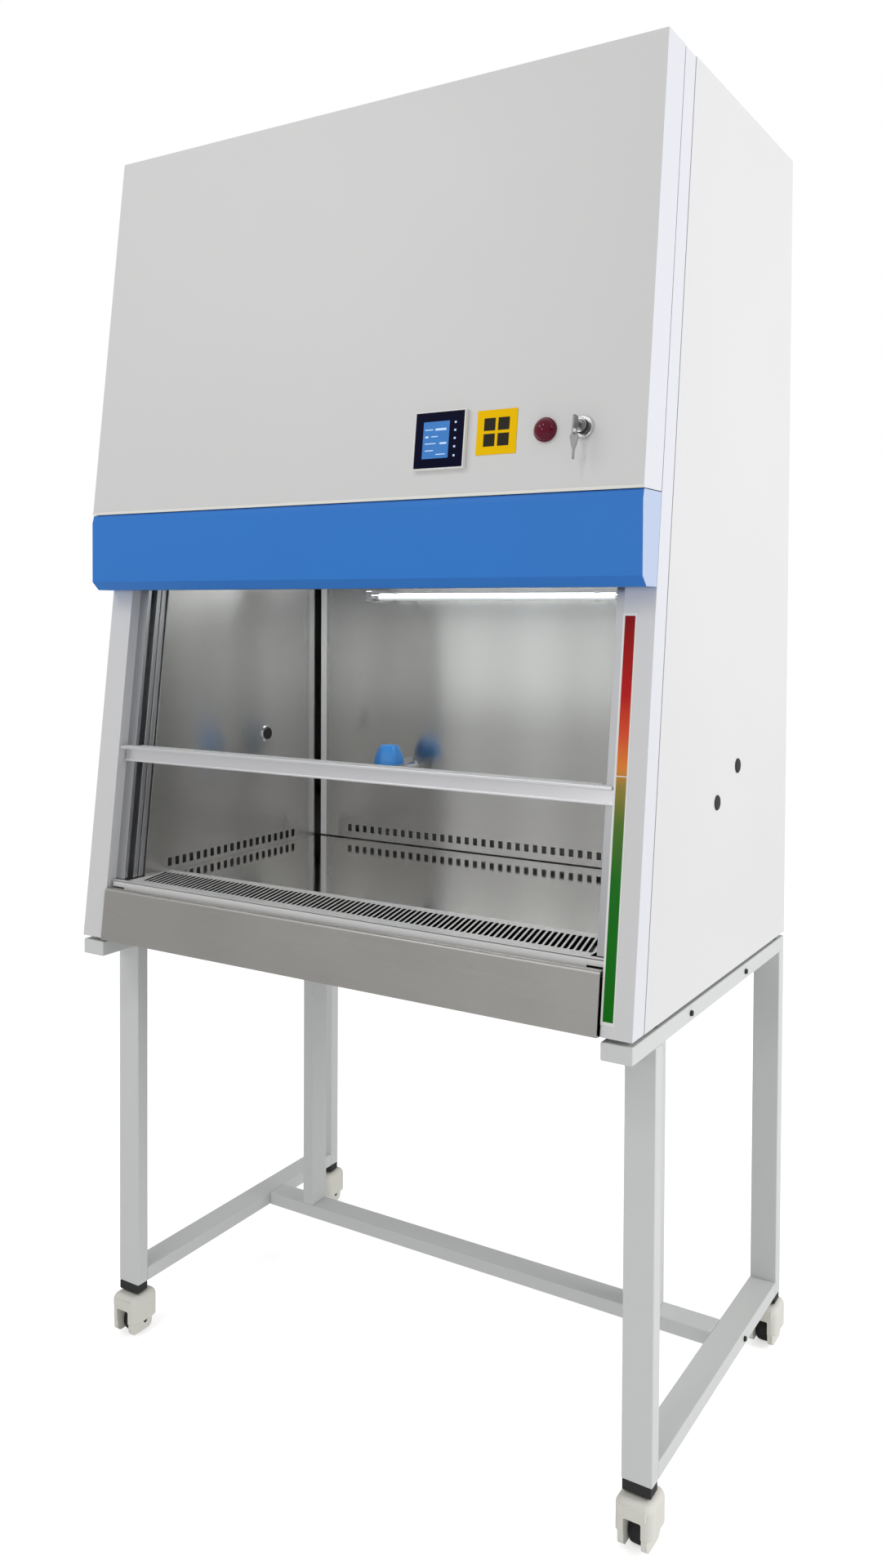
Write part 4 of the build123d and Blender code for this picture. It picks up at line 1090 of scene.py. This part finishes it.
@dataclass
class Hood:
    """Hinged upper cover with the blue trim below it."""

    shop: Workshop
    bead_half: float = 0.549

    def build(self) -> None:
        """Rounds the cover and builds the trim with pale ends."""
        shop = self.shop
        # the cover's folded sides take a paler copy of its paint: painted light
        shop.refine("hood_panel", GREY_COAT, 0.0012, 2, LIT_SIDE_COAT, self.on_lit_flange)
        low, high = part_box("trim_band")
        # pale strip along the cover's lower edge: painted highlight where the edge catches the light
        bead = shop.box((-self.bead_half, 0.0, 0.0), (self.bead_half, 0.0050, 0.0016), 0.0006, 2)
        shop.place(bead, FRONT.on_hood(0.0, high.z + 0.0006))
        shop.seat("hood_edge_bead", bead, [BEAD_HIGHLIGHT_COAT], rides="hood")

        def on_cap(middle: Vector, normal: Vector) -> bool:
            """Tells whether a face of the trim closes one of its ends."""
            return min(abs(middle.x - low.x), abs(middle.x - high.x)) < 0.0005

        shop.refine("trim_band", BLUE_COAT, 0.0016, 3, CAP_COAT, on_cap)

    @staticmethod
    def on_lit_flange(middle: Vector, normal: Vector) -> bool:
        """Tells whether a face belongs to a folded side of the cover; it takes the painted lit-side colour.
        """
        return abs(normal.x) > 0.7


@dataclass
class Controls:
    """Display, plate, lamp and key switch on the hood.

    Places are across and up in the cabinet; bars are left, right, foot and head on the screen.
    """

    shop: Workshop
    display_at: Tuple[float, float] = (0.2085, 1.6648)
    plate_at: Tuple[float, float] = (0.3059, 1.6722)
    dome_at: Tuple[float, float] = (0.389, 1.669)
    lock_at: Tuple[float, float] = (0.4505, 1.6688)
    case_half: float = 0.0465
    plate_half: float = 0.03475
    tile_half: float = 0.0098
    tile_offset: float = 0.0122
    key_half: float = 0.0016
    keys: Tuple[float, ...] = (0.0264, 0.0139, 0.0012, -0.0119, -0.026)
    bars: Tuple[Tuple[float, float, float, float], ...] = (
        (-0.027, -0.012, 0.016, 0.0175),
        (-0.008, 0.012, 0.015, 0.0185),
        (-0.026, -0.020, 0.004, 0.007),
        (-0.015, -0.003, 0.005, 0.0065),
        (-0.026, -0.006, -0.006, -0.0045),
        (0.001, 0.0135, -0.007, -0.004),
        (-0.025, -0.010, -0.017, -0.0155),
        (-0.005, 0.012, -0.0235, -0.022),
    )

    def build(self) -> None:
        """Builds each control in place on the hood."""
        self.display()
        self.plate()
        self.alarm()
        self.lock()

    def display(self) -> None:
        """Builds the display frame, dark face, screen and generic marks."""
        shop = self.shop
        place = FRONT.on_hood(*self.display_at)
        half = self.case_half
        case = shop.box((-half, -half, 0.0), (half, half, 0.009), 0.0012, 2)
        case.normal_update()
        face = max(case.faces, key=lambda f: f.normal.z * f.calc_area())
        bmesh.ops.inset_region(case, faces=[face], thickness=0.0014, depth=0.0)
        bmesh.ops.inset_region(case, faces=[face], thickness=0.0001, depth=-0.0015)
        for each in case.faces:
            each.material_index = 1 if each == face else 0
        shop.seat("controller_face", shop.place(case, place), [WHITE_FRAMES_AND_RAIL_HIGHLIGHT, BEZEL_BLACK], ["controller"])
        glass = shop.box((-0.0303, -0.0290, 0.0060), (0.0173, 0.0298, 0.0077), 0.0003, 1)
        shop.seat("screen_lit", shop.place(glass, place), [SCREEN_BLUE], ["screen"])
        marks = []
        for left, right, foot, head in self.bars:
            marks.append(shop.box((left, foot, 0.0077), (right, head, 0.0079), 0.0001, 1))
        half = self.key_half
        for height in self.keys:
            marks.append(shop.box((0.0263, height - half, 0.0075), (0.0297, height + half, 0.0078), 0.0006))
        shop.seat("screen_marks", shop.place(shop.join(marks), place), [ICON_GLOW], rides="hood")

    def plate(self) -> None:
        """Builds the yellow plate with a plain tiled motif."""
        shop = self.shop
        half = self.plate_half
        edge = self.tile_half
        pieces = [shop.box((-half, -half, 0.0), (half, half, 0.0012), 0.0006, 2)]
        for column in (-self.tile_offset, self.tile_offset):
            for row in (-self.tile_offset, self.tile_offset):
                tile = shop.box((-edge, -edge, 0.0012), (edge, edge, 0.0014))
                pieces.append(shop.place(tile, Matrix.Translation((column, row, 0.0))))
        whole = shop.place(shop.join(pieces, [0, 1, 1, 1, 1]), FRONT.on_hood(*self.plate_at))
        shop.seat("plate_face", whole, [PLATE_YELLOW, MARK_BLACK], ["yellow_plate"])

    def alarm(self) -> None:
        """Turns the red dome, with its profile in millimetres."""
        swing = [math.radians(degrees) for degrees in range(12, 90, 6)]
        arc = [(17.3 * math.cos(a), 0.7 + 17.3 * math.sin(a)) for a in swing]
        profile = [(0.0, 0.0), (18.5, 0.0), (18.5, 3.4), (17.6, 4.0)] + arc + [(0.0, 18.0)]
        bm = self.shop.lathe([(r / 1000, h / 1000) for r, h in profile], 64)
        self.shop.place(bm, FRONT.on_hood(*self.dome_at))
        self.shop.seat("alarm_dome", bm, [DOME_RED], ["alarm_lamp"])

    def lock(self) -> None:
        """Builds the lock and its key."""
        inward = FRONT.on_hood(*self.lock_at).inverted()

        def on_barrel(middle: Vector, normal: Vector) -> bool:
            """Tells whether a face belongs to the dark barrel."""
            local = inward @ middle
            return local.z > 0.0052 and math.hypot(local.x, local.y) > 0.0086

        self.shop.refine("key_switch", BRIGHT_STEEL, 0.0005, 2, BLACK_PLASTIC, on_barrel)
        self.shop.refine("key", KEY_STEEL, 0.0002, 1)


@dataclass
class Works:
    """Fan and filters behind the covers."""

    shop: Workshop

    def build(self) -> None:
        """Dresses the hidden nodes."""
        for node in ("blower_housing", "impeller"):
            self.shop.dress(node, BRIGHT_STEEL)
        self.shop.dress("hepa_filters", FILTER_WHITE)


@dataclass
class Studio:
    """Floor, backdrop light and camera."""

    shop: Workshop
    eye: Point = (1.22989, -2.00058, 1.39805)
    yaw: float = 31.59
    pitch: float = 1.34
    roll: float = 0.30
    focal_px: float = 1527.25
    tall_px: float = 1920.0
    centre_px: float = 785.62
    controls: Point = (0.39, -0.34, 1.67)
    floor_glow: float = 0.55
    sky_light: float = 0.52
    sky_seen: float = 0.48
    sky_gloss: float = 0.08

    def build(self) -> None:
        """Sets floor, lights, world and camera."""
        self.floor()
        self.world()
        self.lights()
        self.camera()

    def floor(self) -> None:
        """Lays the pale floor, white to the camera but for a soft shadow."""
        bm = bmesh.new()
        bmesh.ops.create_grid(bm, x_segments=2, y_segments=2, size=20.0)
        mesh = bpy.data.meshes.new("studio_floor")
        bm.to_mesh(mesh)
        bm.free()
        floor = bpy.data.objects.new("studio_floor", mesh)
        bpy.context.scene.collection.objects.link(floor)
        made = bpy.data.materials.new("studio_paper")
        made.use_nodes = True
        made.node_tree.nodes.clear()
        graph = Graph(made.node_tree)
        paper = graph.add("ShaderNodeBsdfDiffuse", {"Color": (0.92, 0.92, 0.92, 1.0)})
        light = graph.add("ShaderNodeEmission", {"Color": (1.0, 1.0, 1.0, 1.0), "Strength": self.floor_glow})
        both = graph.add("ShaderNodeAddShader")
        graph.tree.links.new(paper.outputs[0], both.inputs[0])
        graph.tree.links.new(light.outputs[0], both.inputs[1])
        path = graph.add("ShaderNodeLightPath")
        seen = graph.math("MAXIMUM", path.outputs["Is Camera Ray"], path.outputs["Is Transmission Ray"])
        mix = graph.add("ShaderNodeMixShader", {0: seen})
        graph.tree.links.new(paper.outputs[0], mix.inputs[1])
        graph.tree.links.new(both.outputs[0], mix.inputs[2])
        output = graph.add("ShaderNodeOutputMaterial")
        graph.feed(output, "Surface", mix.outputs[0])
        mesh.materials.append(made)

    def world(self) -> None:
        """Makes the surroundings: white to the camera, softer as light."""
        world = bpy.data.worlds.new("studio_world")
        bpy.context.scene.world = world
        world.use_nodes = True
        world.node_tree.nodes.clear()
        graph = Graph(world.node_tree)
        path = graph.add("ShaderNodeLightPath")
        seen = graph.math("MAXIMUM", path.outputs["Is Camera Ray"], path.outputs["Is Transmission Ray"])
        glossy = graph.math("MULTIPLY", path.outputs["Is Glossy Ray"], self.sky_gloss)
        lit = graph.math("ADD", glossy, self.sky_light)
        strength = graph.math("ADD", graph.math("MULTIPLY", seen, self.sky_seen), lit)
        light = graph.add("ShaderNodeBackground", {"Color": (1.0, 1.0, 1.0, 1.0), "Strength": strength})
        output = graph.add("ShaderNodeOutputWorld")
        graph.feed(output, "Surface", light.outputs[0])

    def area(self, name: str, place: Point, aim: Point, size: Tuple[float, float], power: float) -> None:
        """Adds one soft area lamp.

        Args:
            name: lamp name.
            place: its position.
            aim: point it faces.
            size: width and height.
            power: watts.
        """
        data = bpy.data.lights.new(name, "AREA")
        data.shape = "RECTANGLE"
        data.size, data.size_y = size
        data.energy = power
        lamp = bpy.data.objects.new(name, data)
        lamp.location = place
        lamp.rotation_euler = (Vector(aim) - Vector(place)).to_track_quat("-Z", "Y").to_euler()
        bpy.context.scene.collection.objects.link(lamp)

    def lights(self) -> None:
        """Places the soft lamps."""
        self.area("front_soft", (-1.6, -2.6, 3.4), (-0.2, -0.3, 1.9), (1.6, 1.2), 15.0)
        self.area("side_soft", (3.6, 0.6, 2.2), (0.3, 0.0, 1.3), (1.6, 2.4), 60.0)
        self.area("sparkle_high", (0.29, -2.94, 4.43), self.controls, (0.5, 0.5), 12.0)
        self.area("sparkle_front", (-0.05, -3.8, 1.75), self.controls, (0.5, 0.5), 9.0)
        self.area("chamber_glow", (0.0, 0.12, 1.50), (0.0, 0.12, 0.9), (0.7, 0.08), 1.1)

    def camera(self) -> None:
        """Sets the camera from its solved place."""
        yaw, pitch, roll = (math.radians(v) for v in (self.yaw, self.pitch, self.roll))
        ahead = Vector((-math.sin(yaw) * math.cos(pitch), math.cos(yaw) * math.cos(pitch), -math.sin(pitch)))
        right = Vector((math.cos(yaw), math.sin(yaw), 0.0))
        up = right.cross(ahead)
        right_rolled = right * math.cos(roll) + up * math.sin(roll)
        up_rolled = up * math.cos(roll) - right * math.sin(roll)
        turn = Matrix((right_rolled, up_rolled, -ahead)).transposed().to_4x4()
        data = bpy.data.cameras.new("view")
        data.sensor_fit = "AUTO"
        data.sensor_width = 36.0
        data.lens = self.focal_px * 36.0 / self.tall_px
        data.shift_y = (self.centre_px - self.tall_px / 2) / self.tall_px
        data.clip_end = 60.0
        camera = bpy.data.objects.new("view", data)
        camera.matrix_world = Matrix.Translation(self.eye) @ turn
        bpy.context.scene.collection.objects.link(camera)
        bpy.context.scene.camera = camera


def main() -> None:
    """Builds every sub-assembly."""
    logging.basicConfig(level=logging.INFO, format="%(message)s")
    bpy.context.scene.view_settings.view_transform = "Standard"
    shop = Workshop()
    for assembly in (Stand, Casters, Shell, Chamber, Sash, Hood, Controls, Works, Studio):
        LOG.info("building %s", assembly.__name__)
        assembly(shop).build()


if __name__ == "__main__":
    main()
